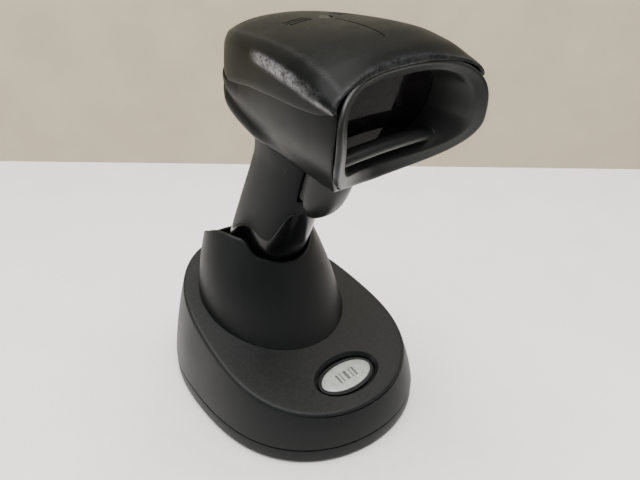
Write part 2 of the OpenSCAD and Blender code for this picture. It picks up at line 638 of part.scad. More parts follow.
// lower end of the neck, just above the roof, found in two steps
function neck_foot_z(t, inset) = let (
        p = neck_point(t, roof_z(-1.7 - 35.8 * cos(t)) + 0.4, inset),
        q = neck_point(t, crowned_z(p[0], p[1]), inset))
    crowned_z(q[0], q[1]) + 0.12;
function neck_ring(k, inset, drop) = [for (t = turn(neck_points)) let (
    foot = neck_foot_z(t, inset))
    neck_point(t, foot + (rim_z(t) - drop - foot) * k, inset)];
// wall section, up the outside and down the inside: fraction up, inset, drop at the rim
neck_section = [[0, 0, 0], [0.2, 0, 0], [0.4, 0, 0], [0.6, 0, 0], [0.8, 0, 0], [1, 0, 0.5],
    [1, 0.5, 0], [1, 1.2, 0], [1, 1.7, 0.5], [0.75, 1.8, 0], [0.5, 2, 0], [0.25, 2, 0],
    [0, 2, 0]];
// repeats the children at the neck screws, z measured from the roof
module at_neck_screws(z) for (p = neck_screws_at)
    translate([p[0], p[1], roof_z(p[1]) + z]) children();

module cradle_neck() color("#34363a") cradle() difference() {
    union() {
        loft_ring([for (s = neck_section) neck_ring(s[0], s[1], s[2])]);
        at_neck_screws(1.3) rod(2.9, 9);
    }
    at_neck_screws(-1) rod(1.2, 10);
}
module neck_screws() color("#b9bcc0") cradle() at_neck_screws(-4.9)
    screw(large_screw, shank_len = 10.6, socket_z = -0.5, shank_z = 1.9);

// ---------------------------------------------------------------- cup
liner_t = 1.6;
pin_hole_r = 1.3;
// section that clears the grip all the way down, in the grip frame
function cup_xy(t, play) = grip_oval(t, 15.1 + play, 18.5 + play, 0.45);
// the same at height z along the grip, in the cradle frame
function sleeve_point(t, play, z) = let (p = cup_xy(t, play))
    grip_at + [p[0], p[1] * cos(grip_lean) - z * sin(grip_lean),
        p[1] * sin(grip_lean) + z * cos(grip_lean)];
function sleeve_ring(play, z) = [for (t = turn(grip_points)) sleeve_point(t, play, z)];
// k = 0 on the inside of the neck, 1 at the top of the sleeve
function funnel_ring(k, inset, play) = [for (t = turn(grip_points)) let (
    high = neck_point(t, rim_z(t) - 7, inset),
    low = sleeve_point(t, play, -50))
    high + (low - high) * k];
function liner_rings(inset, play, bottom) = concat([sleeve_ring(play, bottom)],
    [for (k = [1, 0.5, 0]) funnel_ring(k, inset, play)]);

// sleeve that takes the grip, with a funnel up to the inside of the neck
module cup_liner() color("#17181a") difference() {
    cradle() difference() {
        loft(liner_rings(2.3, cup_play + liner_t, -63));
        loft(concat(liner_rings(3.8, cup_play, -59.6),
            [[for (p = funnel_ring(0, 3.8, cup_play)) p + [0, 0, 6]]]));
    }
    grip() at_each(pins_at, -64) rod(pin_hole_r, 6);
}
module contact_block() color("#ddd8cc") grip() difference() {
    translate([0, -2, -67.1]) box([17, 7, 8]);
    at_each(pins_at, -70.1) rod(pin_hole_r, 8);
}
module charge_pins() color("#d8b55a") grip() {
    at_each(pins_at, -66) rod(1.24, 3.6);
    at_each(pins_at, -62.5) rod(0.7, 3.1);
}
module pin_springs() color("#c3c6ca") grip() at_each(pins_at, -69.65)
    coil(0.8, 0.43, pitch = 0.84, sides = 32);

// ---------------------------------------------------------------- page button
// Sizes of ovals are half sizes [x, y].
button_size = [15.1, 8.4];
badge_size = [13.45, 6.65];
page_posts_at = [[-19.5, 0], [19.5, 0]];
badge_bars = [[-4.6, 1], [-2.6, 0.6], [0, 1.6], [2.6, 0.6], [4.6, 1]];  // x, width

module oval_plate(z, h, size) translate([0, 0, z]) linear_extrude(h)
    polygon([for (t = turn(48)) [size[0] * cos(t), size[1] * sin(t)]]);
module page_button() color("#3a3c40") slope() difference() {
    union() {
        oval_plate(-4, 2.7, button_size);
        oval_plate(-4, 1, [16.6, 9.9]);
    }
    // recess for the badge
    oval_plate(-1.75, 3, badge_size + [0.05, 0.05]);
    // hollow underside with a stem left in the middle
    difference() {
        oval_plate(-4.5, 1.7, [13.2, 6.5]);
        translate([0, 0, -5]) rod(1.8, 4);
    }
}
// oval plate with a plain row of upright bars
module page_badge() color("#b7bcbd") slope() {
    oval_plate(-1.75, 0.5, badge_size);
    for (bar = badge_bars) translate([bar[0], 0, -1.175]) box([bar[1], 4.8, 0.25]);
}
module page_board() color("#1c5a38") slope() difference() {
    translate([0, 0, -9.75]) box([44, 11, 1.4]);
    at_each(page_posts_at, -11) rod(0.8, 3);
}
module page_switch() color("#17181a") slope() {
    translate([0, 0, -7.4]) box([6.2, 6.2, 3.3]);
    translate([0, 0, -5.8]) rod(1.6, 0.85);
}

top_cover();
head_housing();
nose_bezel();
exit_window();
window_gasket();
engine_chassis();
lens_barrel();
lens_glass();
image_sensor_board();
illumination_leds();
aimer_module();
main_board();
radio_module();
beeper();
flex_cable();
status_light_pipe();
handle_shell();
battery_cap();
battery_cell();
battery_contacts();
cap_screw();
charge_pads();
head_screws();
trigger();
trigger_pin();
trigger_spring();
trigger_switch();
switch_plunger();
base_cover();
base_plate();
cradle_neck();
cup_liner();
contact_block();
charge_pins();
pin_springs();
base_board();
page_button();
page_badge();
page_board();
page_switch();
neck_screws();
plate_screws();
rubber_feet();
host_jack();
power_jack();
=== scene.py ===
# Looks of a handheld barcode scanner standing in its charging cradle.
# The outer shells are rebuilt as fine smooth meshes from laws; the parts inside keep their CAD mesh.
# Lengths are in mm and turned into metres when a mesh is made.
# x runs across, the nose points to -y and the table is z = 0.
import json
import math

import bmesh
import bpy
import numpy as np
from mathutils import Matrix, Vector


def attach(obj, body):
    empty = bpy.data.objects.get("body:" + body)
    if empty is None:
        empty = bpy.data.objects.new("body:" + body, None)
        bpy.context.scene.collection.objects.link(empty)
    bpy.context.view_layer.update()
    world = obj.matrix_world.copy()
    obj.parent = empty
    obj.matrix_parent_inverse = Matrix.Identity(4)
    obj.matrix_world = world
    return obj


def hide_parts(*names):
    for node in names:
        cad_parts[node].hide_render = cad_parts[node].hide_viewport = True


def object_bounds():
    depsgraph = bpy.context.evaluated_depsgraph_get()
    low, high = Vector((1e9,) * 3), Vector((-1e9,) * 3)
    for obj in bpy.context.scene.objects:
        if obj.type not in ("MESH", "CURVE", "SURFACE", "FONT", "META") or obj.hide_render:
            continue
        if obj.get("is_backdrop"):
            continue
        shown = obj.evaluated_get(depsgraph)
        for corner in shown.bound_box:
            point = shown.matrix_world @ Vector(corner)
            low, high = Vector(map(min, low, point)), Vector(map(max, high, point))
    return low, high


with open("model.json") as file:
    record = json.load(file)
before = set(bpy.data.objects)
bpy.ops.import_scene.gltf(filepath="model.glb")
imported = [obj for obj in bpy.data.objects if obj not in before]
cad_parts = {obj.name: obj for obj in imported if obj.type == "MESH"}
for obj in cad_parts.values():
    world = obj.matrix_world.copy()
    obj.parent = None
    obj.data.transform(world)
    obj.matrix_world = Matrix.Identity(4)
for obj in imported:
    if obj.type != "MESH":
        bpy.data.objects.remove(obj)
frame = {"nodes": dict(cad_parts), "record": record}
start_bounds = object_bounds()
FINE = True

WALL = 1.7      # thickness of the handset shells
SEAM = 0.15     # gap between neighbouring handset shells


# ------------------------------------------------------------------ frames
Y0 = 20.0       # place of the cradle frame along y
HEAD_TILT, GRIP_LEAN, ROOF_SLOPE = math.radians(14.72), math.radians(23), math.radians(12.9)
HEAD_ORIGIN = (0, Y0 - 84.7, 145.7)
GRIP_Y, GRIP_Z = -10, 90    # origin of the grip frame, seen from the cradle frame


def turned(points, angle, origin):
    """Points turned about x, then moved to origin."""
    P = np.asarray(points, float)
    c, s = math.cos(angle), math.sin(angle)
    y, z = P[..., 1], P[..., 2]
    return np.stack([P[..., 0] + origin[0], y * c - z * s + origin[1], y * s + z * c + origin[2]], -1)


def placer(angle, origin):
    """Function that takes points of a frame to the world."""
    return lambda points: turned(points, angle, origin)


head = placer(HEAD_TILT, HEAD_ORIGIN)                   # y is the depth behind the nose
grip = placer(GRIP_LEAN, (0, Y0 + GRIP_Y, GRIP_Z))      # z runs up the handle
slope = placer(ROOF_SLOPE, (0, Y0 - 59.8, 25.66))       # call button, z square to the roof
cradle = placer(0, (0, Y0, 0))


def unhead(points):
    return turned(points - np.array(HEAD_ORIGIN), -HEAD_TILT, (0, 0, 0))


# ------------------------------------------------------------------ curves
def law(table):
    """Smooth curve through (position, value) points, without overshoot."""
    xs, ys = np.array(table, float).T
    step = np.diff(xs)
    chord = np.diff(ys) / step
    slopes = np.zeros_like(ys)
    slopes[0], slopes[-1] = chord[0], chord[-1]
    for i in range(1, len(xs) - 1):
        if chord[i - 1] * chord[i] > 0:
            before, after = 2 * step[i] + step[i - 1], step[i] + 2 * step[i - 1]
            slopes[i] = (before + after) / (before / chord[i - 1] + after / chord[i])

    def curve(x):
        x = np.clip(np.asarray(x, float), xs[0], xs[-1])
        i = np.clip(np.searchsorted(xs, x, side="right") - 1, 0, len(step) - 1)
        t = (x - xs[i]) / step[i]
        return ((1 + 2 * t) * (1 - t) ** 2 * ys[i] + t * (1 - t) ** 2 * step[i] * slopes[i]
                + t * t * (3 - 2 * t) * ys[i + 1] + t * t * (t - 1) * step[i] * slopes[i + 1])
    return curve


def power(value, exponent):
    """Power that keeps the sign, for superellipses."""
    return np.sign(value) * np.abs(value) ** exponent


def circle(n):
    return np.arange(n) * 2 * math.pi / n


def cut_corners(points, times):
    """Rounds an open line by repeated corner cutting."""
    P = np.array(points, float)
    for _ in range(times):
        Q = [P[0]]
        for a, b in zip(P[:-1], P[1:]):
            Q += [a * 0.75 + b * 0.25, a * 0.25 + b * 0.75]
        Q.append(P[-1])
        P = np.array(Q)
    return P


def soften(line, i, reach=2):
    """Smooths a line around its point i."""
    for _ in range(2):
        Q = line.copy()
        near = slice(i - reach, i + reach + 1)
        Q[near] = (line[i - reach - 1:i + reach] + 2 * line[near]
                   + line[i - reach + 1:i + reach + 2]) / 4
        line = Q
    return line


def pairs(points):
    """Each (x, y) on both sides of the middle, -x first."""
    return [(side * x, y) for x, y in points for side in (-1, 1)]


# ------------------------------------------------------------------ bodies
def make_object(name, verts, faces):
    mesh = bpy.data.meshes.new(name)
    mesh.from_pydata([tuple(v) for v in np.asarray(verts, float) / 1000.0], [], faces)
    mesh.update()
    bm = bmesh.new()
    bm.from_mesh(mesh)
    bmesh.ops.remove_doubles(bm, verts=bm.verts, dist=2e-6)
    bmesh.ops.dissolve_degenerate(bm, edges=bm.edges, dist=1e-7)
    bmesh.ops.recalc_face_normals(bm, faces=bm.faces)
    bm.to_mesh(mesh)
    bm.free()
    ob = bpy.data.objects.new(name, mesh)
    bpy.context.scene.collection.objects.link(ob)
    return ob


def grid_faces(m, n, close=False):
    """Quads between m closed loops of n points; close joins the last loop to the first."""
    faces = []
    for i in range(m if close else m - 1):
        a, b = i * n, ((i + 1) % m) * n
        for j in range(n):
            k = (j + 1) % n
            faces.append((a + j, a + k, b + k, b + j))
    return faces


def loft(rings, place, name="part"):
    """Closed body through rings, its ends closed by fans."""
    R = np.array(rings, float)
    m, n = R.shape[:2]
    mids = [(R[0].max(0) + R[0].min(0)) / 2, (R[-1].max(0) + R[-1].min(0)) / 2]
    last = (m - 1) * n
    faces = grid_faces(m, n)
    faces += [((j + 1) % n, j, m * n) for j in range(n)]
    faces += [(last + j, last + (j + 1) % n, m * n + 1) for j in range(n)]
    return make_object(name, place(np.vstack([R.reshape(-1, 3), mids])), faces)


def loft_loop(rings, place, name="part"):
    """Body whose last ring joins the first."""
    R = np.array(rings, float)
    m, n = R.shape[:2]
    return make_object(name, place(R.reshape(-1, 3)), grid_faces(m, n, close=True))


def trough(name, stations, n_outer, place):
    """Open shell from stations, each a loop of an outer line and the inner line back.
    Strips between outer and inner line close both ends."""
    R = np.array(stations, float)
    m, n = R.shape[:2]
    faces = grid_faces(m, n)
    for i in (0, m - 1):
        b = i * n
        for j in range(n_outer - 1):
            quad = (b + j, b + j + 1, b + n - 2 - j, b + n - 1 - j)
            faces.append(quad if i else quad[::-1])
    return make_object(name, place(R.reshape(-1, 3)), faces)


def box(centre, size, place):
    corners = np.array([[x, y, z] for x in (-1, 1) for y in (-1, 1) for z in (-1, 1)], float)
    verts = corners * (np.array(size, float) / 2) + np.array(centre, float)
    faces = [(0, 1, 3, 2), (4, 6, 7, 5), (0, 4, 5, 1), (2, 3, 7, 6), (0, 2, 6, 4), (1, 5, 7, 3)]
    return make_object("part", place(verts), faces)


def lathe(centre, profile, place, axis=2, n=48):
    """Body turned around an axis from (radius, height) pairs.
    A profile that comes back to its start makes a hollow body."""
    t = circle(n)
    u, v = [(1, 2), (0, 2), (0, 1)][axis]
    rings = []
    for radius, height in profile:
        radius = max(radius, 1e-3)
        P = np.zeros((n, 3))
        P[:, u], P[:, v], P[:, axis] = radius * np.cos(t), radius * np.sin(t), height
        rings.append(P + np.array(centre, float))
    if profile[0] == profile[-1]:
        return loft_loop(rings[:-1], place)
    return loft(rings, place)


def rod(centre, radius, low, high, place, axis=2, n=48):
    return lathe(centre, [(0, low), (radius, low), (radius, high), (0, high)], place, axis, n)


def pipe(centre, outer, inner, low, high, place, axis=2):
    profile = [(outer, low), (outer, high), (inner, high), (inner, low), (outer, low)]
    return lathe(centre, profile, place, axis)


def screw_post(centre, outer, bore, head_bore, low, shoulder, high, place):
    """Upright pipe, bored wider below the shoulder."""
    return lathe(centre, [(outer, low), (outer, high), (bore, high), (bore, shoulder),
                          (head_bore, shoulder), (head_bore, low), (outer, low)], place)


def prism(outline, x0, x1, place):
    """(y, z) outline drawn out along x."""
    n = len(outline)
    verts = [[x, p[0], p[1]] for x in (x0, x1) for p in outline]
    faces = [tuple(range(n)), tuple(range(2 * n - 1, n - 1, -1))]
    faces += [(i, i + n, (i + 1) % n + n, (i + 1) % n) for i in range(n)]
    return make_object("part", place(np.array(verts, float)), faces)


def column(outline, z0, z1, place):
    """(x, y) outline drawn out along z."""
    n = len(outline)
    verts = [[p[0], p[1], z] for z in (z0, z1) for p in outline]
    faces = [tuple(range(n - 1, -1, -1)), tuple(range(n, 2 * n))]
    faces += [(i, (i + 1) % n, (i + 1) % n + n, i + n) for i in range(n)]
    return make_object("part", place(np.array(verts, float)), faces)


def oval_body(profile, place, name="part"):
    """Body with oval sections from (half width, half height, z)."""
    t = circle(120)
    return loft([np.stack([max(a, 1e-3) * np.cos(t), max(b, 1e-3) * np.sin(t),
                           np.full(120, float(z))], 1) for a, b, z in profile], place, name)


def carve(ob, cutters, operation="DIFFERENCE"):
    """Boolean with each cutter in turn; the cutters are used up."""
    for cutter in cutters:
        mod = ob.modifiers.new("cut", "BOOLEAN")
        mod.operation = operation
        mod.solver = "EXACT"
        mod.object = cutter
        graph = bpy.context.evaluated_depsgraph_get()
        mesh = bpy.data.meshes.new_from_object(ob.evaluated_get(graph))
        ob.modifiers.clear()
        old = ob.data
        ob.data = mesh
        bpy.data.meshes.remove(old)
        bpy.data.objects.remove(cutter)


def merge(ob, others):
    """The other bodies become part of ob's mesh."""
    bm = bmesh.new()
    bm.from_mesh(ob.data)
    for other in others:
        bm.from_mesh(other.data)
        bpy.data.objects.remove(other)
    bm.to_mesh(ob.data)
    bm.free()


def tidy(ob, angle=32):
    """Drops tiny edges and shades smooth, sharp above the angle in degrees."""
    mesh = ob.data
    bm = bmesh.new()
    bm.from_mesh(mesh)
    bmesh.ops.dissolve_degenerate(bm, edges=bm.edges, dist=2e-7)
    bm.to_mesh(mesh)
    bm.free()
    mesh.shade_smooth()
    mesh.set_sharp_from_angle(angle=math.radians(angle))
    return ob


# ------------------------------------------------------------------ head laws
# (depth y behind the nose, value), in the head frame
crown_z = law([[-8, 20.6], [0, 22.8], [10, 24.6], [16, 26], [23, 26.4], [31, 25.3], [46, 21.2],
               [66, 14.4], [80, 7.8], [86, 3.8], [90, 0.2], [93, -4], [95, -9], [95.8, -14]])
half_width = law([[-8, 35.4], [0, 35.4], [10, 35.1], [25, 33.9], [40, 31.6], [55, 28.4],
                  [70, 24.3], [80, 20.4], [86, 17], [90, 13.5], [93, 9.5], [95, 5], [95.8, 2]])
bulge_z = law([[-8, 18.6], [0, 18.2], [10, 17.3], [20, 15.9], [31, 14.4], [44, 11.6], [54, 8.8],
               [66, 5], [76, 1], [85, -4], [92, -9], [95.8, -14]])
# parting edge between cover and housing
lip_z = law([[-8, 16.5], [0, 15.8], [4, 14.6], [8, 12.2], [19, 8.2], [30, 4.8], [43, 0.3],
             [52, -3.1], [66, -9.6], [79, -15.2], [90, -16.5], [95.8, -16]])
under_z = law([[-8, -23], [0, -23.6], [8, -24.8], [12, -26.4], [18, -29.4], [64, -34.8],
               [78, -34.3], [84, -31.8], [88, -28.5], [92, -24], [94.6, -20], [95.8, -17.5]])
# corner between the housing's side panel and its underside
keel_x = law([[-8, 26], [2, 24.5], [9, 22], [16, 20.4], [34, 20.3], [47, 19.9], [57, 19.6],
              [64, 19.3], [72, 18.7], [80, 17.5], [85, 15.6], [88, 13.7], [92, 9.9], [94.6, 5.6],
              [95.8, 2.4]])
keel_z = law([[-8, -15], [2, -17.5], [9, -20.5], [16, -22.9], [34, -23.4], [57, -23.2],
              [70, -22.8], [80, -21.5], [88, -19.6], [93, -18.3], [95.8, -16.8]])
# how far the housing's top edge lies inside the cover's side
house_in = law([[-8, 3.2], [67, 3.2], [73, 2.2], [78, 0.7], [95.8, 0.3]])
# share of the fuller, rounder underside
fullness = law([[25, 0], [45, 0.4], [60, 1], [95, 1]])
# outward swell of the side panel
belly = law([[0, 3.4], [30, 1.6], [95, 0.4]])
# crease between crown and shoulder: distance inside the half width, and height
crease_in = law([[-8, 5.3], [8, 5.3], [27, 4.6], [37, 4.5], [48, 4.1], [63, 3.4], [80, 2.2],
                 [95.8, 0.3]])
crease_z = law([[-8, 19.5], [0, 20], [8, 20.9], [16, 22], [27, 21.4], [37, 19.3], [48, 16.4],
                [63, 11], [80, 3.9], [86, 0.4], [92, -6], [95.8, -14]])


def lip_y(x, z):
    """Depth of the nose lip's front."""
    return 3.14 + 1.07 * z / 30 + 11.22 * (z / 30) ** 2 - 7.42 * (x / 35) ** 2


def edge_y(x, z):
    """Depth of the front edge of cover and housing."""
    return 2.6 + 0.66 * lip_y(x, z)


# ------------------------------------------------------------------ head shells
N_ROLL, N_SHOULDER, N_TUCK = (26, 16, 9) if FINE else (16, 10, 6)
N_COVER = N_ROLL + N_SHOULDER + N_TUCK
ROLL = slice(0, N_ROLL)
SHOULDER = slice(N_ROLL, N_ROLL + N_SHOULDER)
TUCK = slice(N_ROLL + N_SHOULDER, N_COVER)
ROLL_T = np.linspace(0, 1, N_ROLL)
SHOULDER_T = np.linspace(0, 1, N_SHOULDER + 1)[1:]
TUCK_T = np.linspace(0, 1, N_TUCK + 1)[1:]
FULL_Y = 14         # the front blend ends and full sections begin
SOLID_Y = 88        # the inner line starts to close up
TAIL_Y = 95.2
DEPTHS = np.concatenate([np.arange(FULL_Y, 93.7, 1.0 if FINE else 2.0),
                         np.linspace(93.8, TAIL_Y, 5)])
TAIL_SCREWS = pairs([(7, 76)])


def at_depth(line, y):
    """(x, z) line as points at depth y, one depth or one for each point."""
    return np.stack([line[:, 0], np.broadcast_to(y, len(line)), line[:, 1]], 1)


def whole(half):
    """Both halves of a line of points whose first point lies in the middle."""
    return np.vstack([half[:0:-1] * np.array([-1, 1, 1]), half])


def station(outer, inner):
    return np.vstack([whole(outer), whole(inner)[::-1]])


def close_tail(stations, n_outer, open_low):
    """Draws the inner line in to the middle over the last stations, so the tail ends solid."""
    for S in stations:
        y = S[0, 1]
        k = np.clip((y - SOLID_Y) / (TAIL_Y - SOLID_Y), 0, 1)
        if k > 0:
            outer, inner = S[:n_outer], S[n_outer:]
            middle = np.array([0, y, outer[:, 2].min() if open_low else outer[:, 2].max()])
            S[n_outer:] = inner * (1 - k) + (outer[::-1] * 0.02 + middle * 0.98) * k
    return stations


def cover_line(y, inset):
    """+x half of the cover section: crown, crease, shoulder, bulge, down to the parting edge.
    y is one depth or a depth for every point."""
    y = np.broadcast_to(np.asarray(y, float), (N_COVER,))
    side, crown, bulge, lip = half_width(y) - inset, crown_z(y) - inset, bulge_z(y), lip_z(y)
    fold_x, fold_z = side - crease_in(y) + 0.3 * inset, crease_z(y) - 0.8 * inset
    mid_z = fold_z * 0.45 + bulge * 0.55
    x, z = np.empty(N_COVER), np.empty(N_COVER)
    i, k = ROLL, ROLL_T ** 0.8
    x[i], z[i] = fold_x[i] * k, crown[i] - (crown[i] - fold_z[i]) * k ** 2.6
    i, k = SHOULDER, SHOULDER_T
    x[i] = (1 - k) ** 2 * fold_x[i] + (2 * k - k * k) * side[i]
    z[i] = (1 - k) ** 2 * fold_z[i] + 2 * k * (1 - k) * mid_z[i] + k * k * bulge[i]
    i, k = TUCK, TUCK_T
    x[i] = side[i] - k ** 1.5 - 2 * np.maximum(k - 0.88, 0)
    z[i] = bulge[i] + (lip[i] - bulge[i]) * k
    return soften(soften(np.stack([x, z], 1), N_ROLL), N_ROLL + N_SHOULDER)


def front_line(inset):
    """The same line at the front edge, round the shoulders of the lip."""
    angle = np.radians(np.concatenate([43.4 * ROLL_T ** 0.9, 43.4 + 40.6 * SHOULDER_T]))
    exponent = 0.833 - 0.08 * inset
    P = np.stack([(34.9 - inset) * np.sin(angle) ** exponent,
                  14.6 + (8.9 - inset) * np.cos(angle) ** exponent], 1)
    bend, end = np.array([34.88 - inset, 15.5]), np.array([34.2 - inset, 15.3])
    k = TUCK_T[:, None]
    return np.vstack([P, P[-1] * (1 - k) ** 2 + bend * 2 * k * (1 - k) + end * k * k])


def cover_front(k, inset):
    """Cover line between the rolled front edge (k = 0) and the full section (k = 1)."""
    edge = front_line(inset)
    start = edge_y(edge[:, 0], edge[:, 1])
    y = start + (FULL_Y - start) * k
    shift = edge - cover_line(start, inset)
    return at_depth(cover_line(y, inset) + shift * (1 - math.sqrt(1 - (1 - k) ** 2)), y)


def cover_at(y, inset):
    return at_depth(cover_line(y, inset), y)


def head_wear_and_highlight(ob):
    """Wear weights where hands and the counter rub the head; the band along the bulge roll also paints
    its highlight, stronger on the -x side that faces the key light.
    """
    co = np.zeros(len(ob.data.vertices) * 3)
    ob.data.vertices.foreach_get("co", co)
    P = unhead(co.reshape(-1, 3) * 1000)
    x, y, z = np.abs(P[:, 0]), P[:, 1], P[:, 2]
    near_side = np.exp(-((x - half_width(y)) / 2.2) ** 2)
    # broad band along the bulge, partly rubbed wear and partly painted highlight, and a thin line
    # below it; tables are depth -> strength
    bulge_wear_and_highlight = near_side * np.exp(-((z - bulge_z(y) + 0.1) / 2.0) ** 4) * np.interp(
        y, [8, 16, 25, 32, 43, 50, 54], [0.0, 0.25, 0.75, 1.0, 1.0, 0.4, 0.0])
    line = near_side * np.exp(-((z - bulge_z(y) + 1.9) / 0.7) ** 2) * np.interp(
        y, [3, 6, 17, 22], [0.5, 0.7, 0.5, 0.0])
    crease = np.exp(-(((x - half_width(y) + crease_in(y)) / 1.0) ** 2
                      + ((z - crease_z(y)) / 0.9) ** 2)) * 0.05
    front = np.exp(-((y - edge_y(P[:, 0], z)) / 0.9) ** 2) * 0.1
    # painted highlight: the -x side, which faces the key light, gets the full band
    key_side_gain = np.where(P[:, 0] > 0, 0.6, 1.0)
    wear_and_sheen = np.maximum.reduce([bulge_wear_and_highlight * key_side_gain, line * key_side_gain, crease, front])
    layer = ob.data.attributes.new("wear_and_sheen", "FLOAT", "POINT")
    layer.data.foreach_set("value", np.clip(wear_and_sheen, 0, 1).astype(np.float32))


def top_cover():
    stations = [station(cover_front(k, 0), cover_front(k, WALL))
                for k in (0, 0.012, 0.04, 0.09, 0.16, 0.25, 0.36, 0.5, 0.66, 0.83)]
    stations += [station(cover_at(y, 0), cover_at(y, WALL)) for y in DEPTHS]
    n_outer = 2 * N_COVER - 1
    ob = trough("top_cover_shell", close_tail(stations, n_outer, True), n_outer, head)
    # three slots on each side of a round hole
    cuts = [box((x, 50.4 + 2.1 * i, 20), (9.6, 0.95, 16), head)
            for x in (-10.6, 10.6) for i in range(3)]
    cuts.append(rod((0, 50, 0), 2.55, 12, 27, head))
    # fine groove along the middle of the crown
    ys = np.linspace(21, 45, 25)
    zs = crown_z(ys)
    groove = [(y, z - 0.55) for y, z in zip(ys, zs)]
    groove += [(y, z + 2) for y, z in zip(ys[::-1], zs[::-1])]
    cuts.append(prism(groove, -0.42, 0.42, head))
    carve(ob, cuts)
    merge(ob, [pipe((x, y, 0), 2.6, 1.1, -8, 6.9, head) for x, y in TAIL_SCREWS])
    tidy(ob)
    head_wear_and_highlight(ob)
    return ob


N_SIDE, N_HOUSE = 16, 33    # points on the side panel, and on the whole half line


def house_line(y, inset, lift):
    """+x half of the lower housing from the middle of the underside: keel, side panel, top edge."""
    y = np.broadcast_to(np.asarray(y, float), (N_HOUSE,))
    top_x, top_z, full = half_width(y) - house_in(y) - inset, lip_z(y) + lift, fullness(y)
    corner_x, corner_z = keel_x(y) - inset * 0.8, keel_z(y) + inset * 0.45
    drop, swell = under_z(y) + inset - corner_z, belly(y)
    t = np.concatenate([np.linspace(0, 1, N_SIDE + 1)[:-1], np.zeros(N_HOUSE - N_SIDE)])
    u = np.concatenate([np.zeros(N_SIDE), np.linspace(0, 1, N_HOUSE - N_SIDE)])
    side = np.arange(N_HOUSE) < N_SIDE
    co, si = np.cos(u * math.pi / 2), np.sin(u * math.pi / 2)
    co[u > 0.999] = 0
    # underside: a flatter and a fuller curve, mixed
    x, z = corner_x * (1 - u * u * 0.55 - u * 0.45), corner_z + drop * (1 - (1 - u) ** 2.2)
    x = x + (corner_x * co ** 0.6 * (1 + 0.12 * np.sin(math.pi * u)) - x) * full
    z = z + (corner_z + drop * si - z) * full
    bow = np.sin(math.pi * t)
    x = np.where(side, top_x + (corner_x - top_x) * t + swell * bow, x)
    z = np.where(side, top_z + (corner_z - top_z) * t - swell * 0.4 * bow, z)
    return soften(np.stack([x, z], 1), N_SIDE, 4)[::-1]


def house_front(k, inset, lift, back):
    """Housing line between the front edge (k = 0), set back a little, and the full section."""
    P = house_line(7, inset, lift)
    Q = house_line(edge_y(P[:, 0], P[:, 1])[::-1], inset, lift)
    start = edge_y(Q[:, 0], Q[:, 1]) + back + 0.36 * np.maximum(0, -Q[:, 1] - 18)
    y = start + (FULL_Y - start) * k
    return at_depth(house_line(y[::-1], inset, lift), y)


def house_at(y, inset, lift):
    return at_depth(house_line(y, inset, lift), y)


def head_housing():
    # the front rim is rounded by (inset, set back) steps
    stations = [station(house_front(0, d, -SEAM, back), house_front(0, WALL - d, -SEAM, back))
                for d, back in ((0.45, 0.55), (0.13, 0.68), (0, 1.0))]
    stations += [station(house_front(k, 0, -SEAM, 1.0), house_front(k, WALL, -SEAM, 1.0))
                 for k in (0.12, 0.28, 0.45, 0.63, 0.82)]
    stations += [station(house_at(y, 0, -SEAM), house_at(y, WALL, -SEAM)) for y in DEPTHS]
    n_outer = 2 * N_HOUSE - 1
    ob = trough("head_housing_shell", close_tail(stations, n_outer, False), n_outer, head)
    # opening in the underside, and holes for the screw heads
    carve(ob, [box((0, 49, -33), (13, 20, 12), head)]
          + [rod((x, y, 0), 2.3, -40, -30, head) for x, y in TAIL_SCREWS])
    merge(ob, [screw_post((x, y, 0), outer=3.0, bore=1.45, head_bore=2.3, low=-29.8,
                          shoulder=-25.9, high=-8.6, place=head) for x, y in TAIL_SCREWS])
    tidy(ob)
    head_wear_and_highlight(ob)
    return ob


# ------------------------------------------------------------------ nose
N_LIP = 240 if FINE else 120


def lip_outline():
    """(x, z) outline of the lip, evenly spaced, with slightly softened corners."""
    t = np.linspace(0, 2 * math.pi, 4001)    # from the crown
    c, s = np.cos(t), np.sin(t)
    exponent = np.where(c > 0, 0.503, 1.383)
    z = np.where(c > 0, 19.12, 26.87) * power(c, exponent)
    x = 35.03 * power(s, exponent) * (1 + 0.24 * np.maximum(-z, 0) / 26.87)
    P = np.stack([x, z + 2.51], 1)
    run = np.concatenate([[0], np.cumsum(np.hypot(*np.diff(P, axis=0).T))])
    even = np.linspace(0, run[-1], N_LIP + 1)[:-1]
    Q = np.stack([np.interp(even, run, P[:, 0]), np.interp(even, run, P[:, 1])], 1)
    for _ in range(3):
        Q = (np.roll(Q, 1, 0) + 2 * Q + np.roll(Q, -1, 0)) / 4
    return Q


LIP = lip_outline()
PANE = LIP * np.array([0.72, 0.74])


def shrunk(outline, inset):
    return outline * (1 - inset / np.hypot(outline[:, 0], outline[:, 1]))[:, None]


def lip_ring(inset, behind, deepest=99.0):
    """Ring inside the lip outline, some way behind the lip's front."""
    y = np.minimum(deepest, lip_y(LIP[:, 0], LIP[:, 1]) + behind)
    return at_depth(shrunk(LIP, inset), y)


def pane_ring(inset, y):
    return at_depth(shrunk(PANE, inset), y)


def between(A, B):
    return [A * (1 - k) + B * k for k in (0.25, 0.5, 0.75)]


# lip section, outside to inside: inset from the outline, depth behind the lip's front
LIP_SECTION = [(5.5, 5.3), (4.9, 3.8), (3.5, 2.75), (0.9, 2.1), (-0.02, 1.5), (-0.02, 0.6),
               (0.25, 0.0), (0.9, -0.18), (1.6, 0.05), (2.4, 0.55), (4.6, 1.65), (5.0, 1.9),
               (5.25, 2.3), (5.8, 3.1), (6.4, 4.7)]


def ledge_ring(x):
    """Section of the ledge at x; it arches up in the middle."""
    t = circle(40)
    c, s, arch = np.cos(t), np.sin(t), 1.6 * (1 - (x / 27) ** 2)
    return np.stack([np.full(40, float(x)), 8.6 - np.where(c < 0, 3.9, 2.9) * c - 0.1 * arch,
                     -9.6 + arch + 2.1 * s + 0.12 * c], 1)


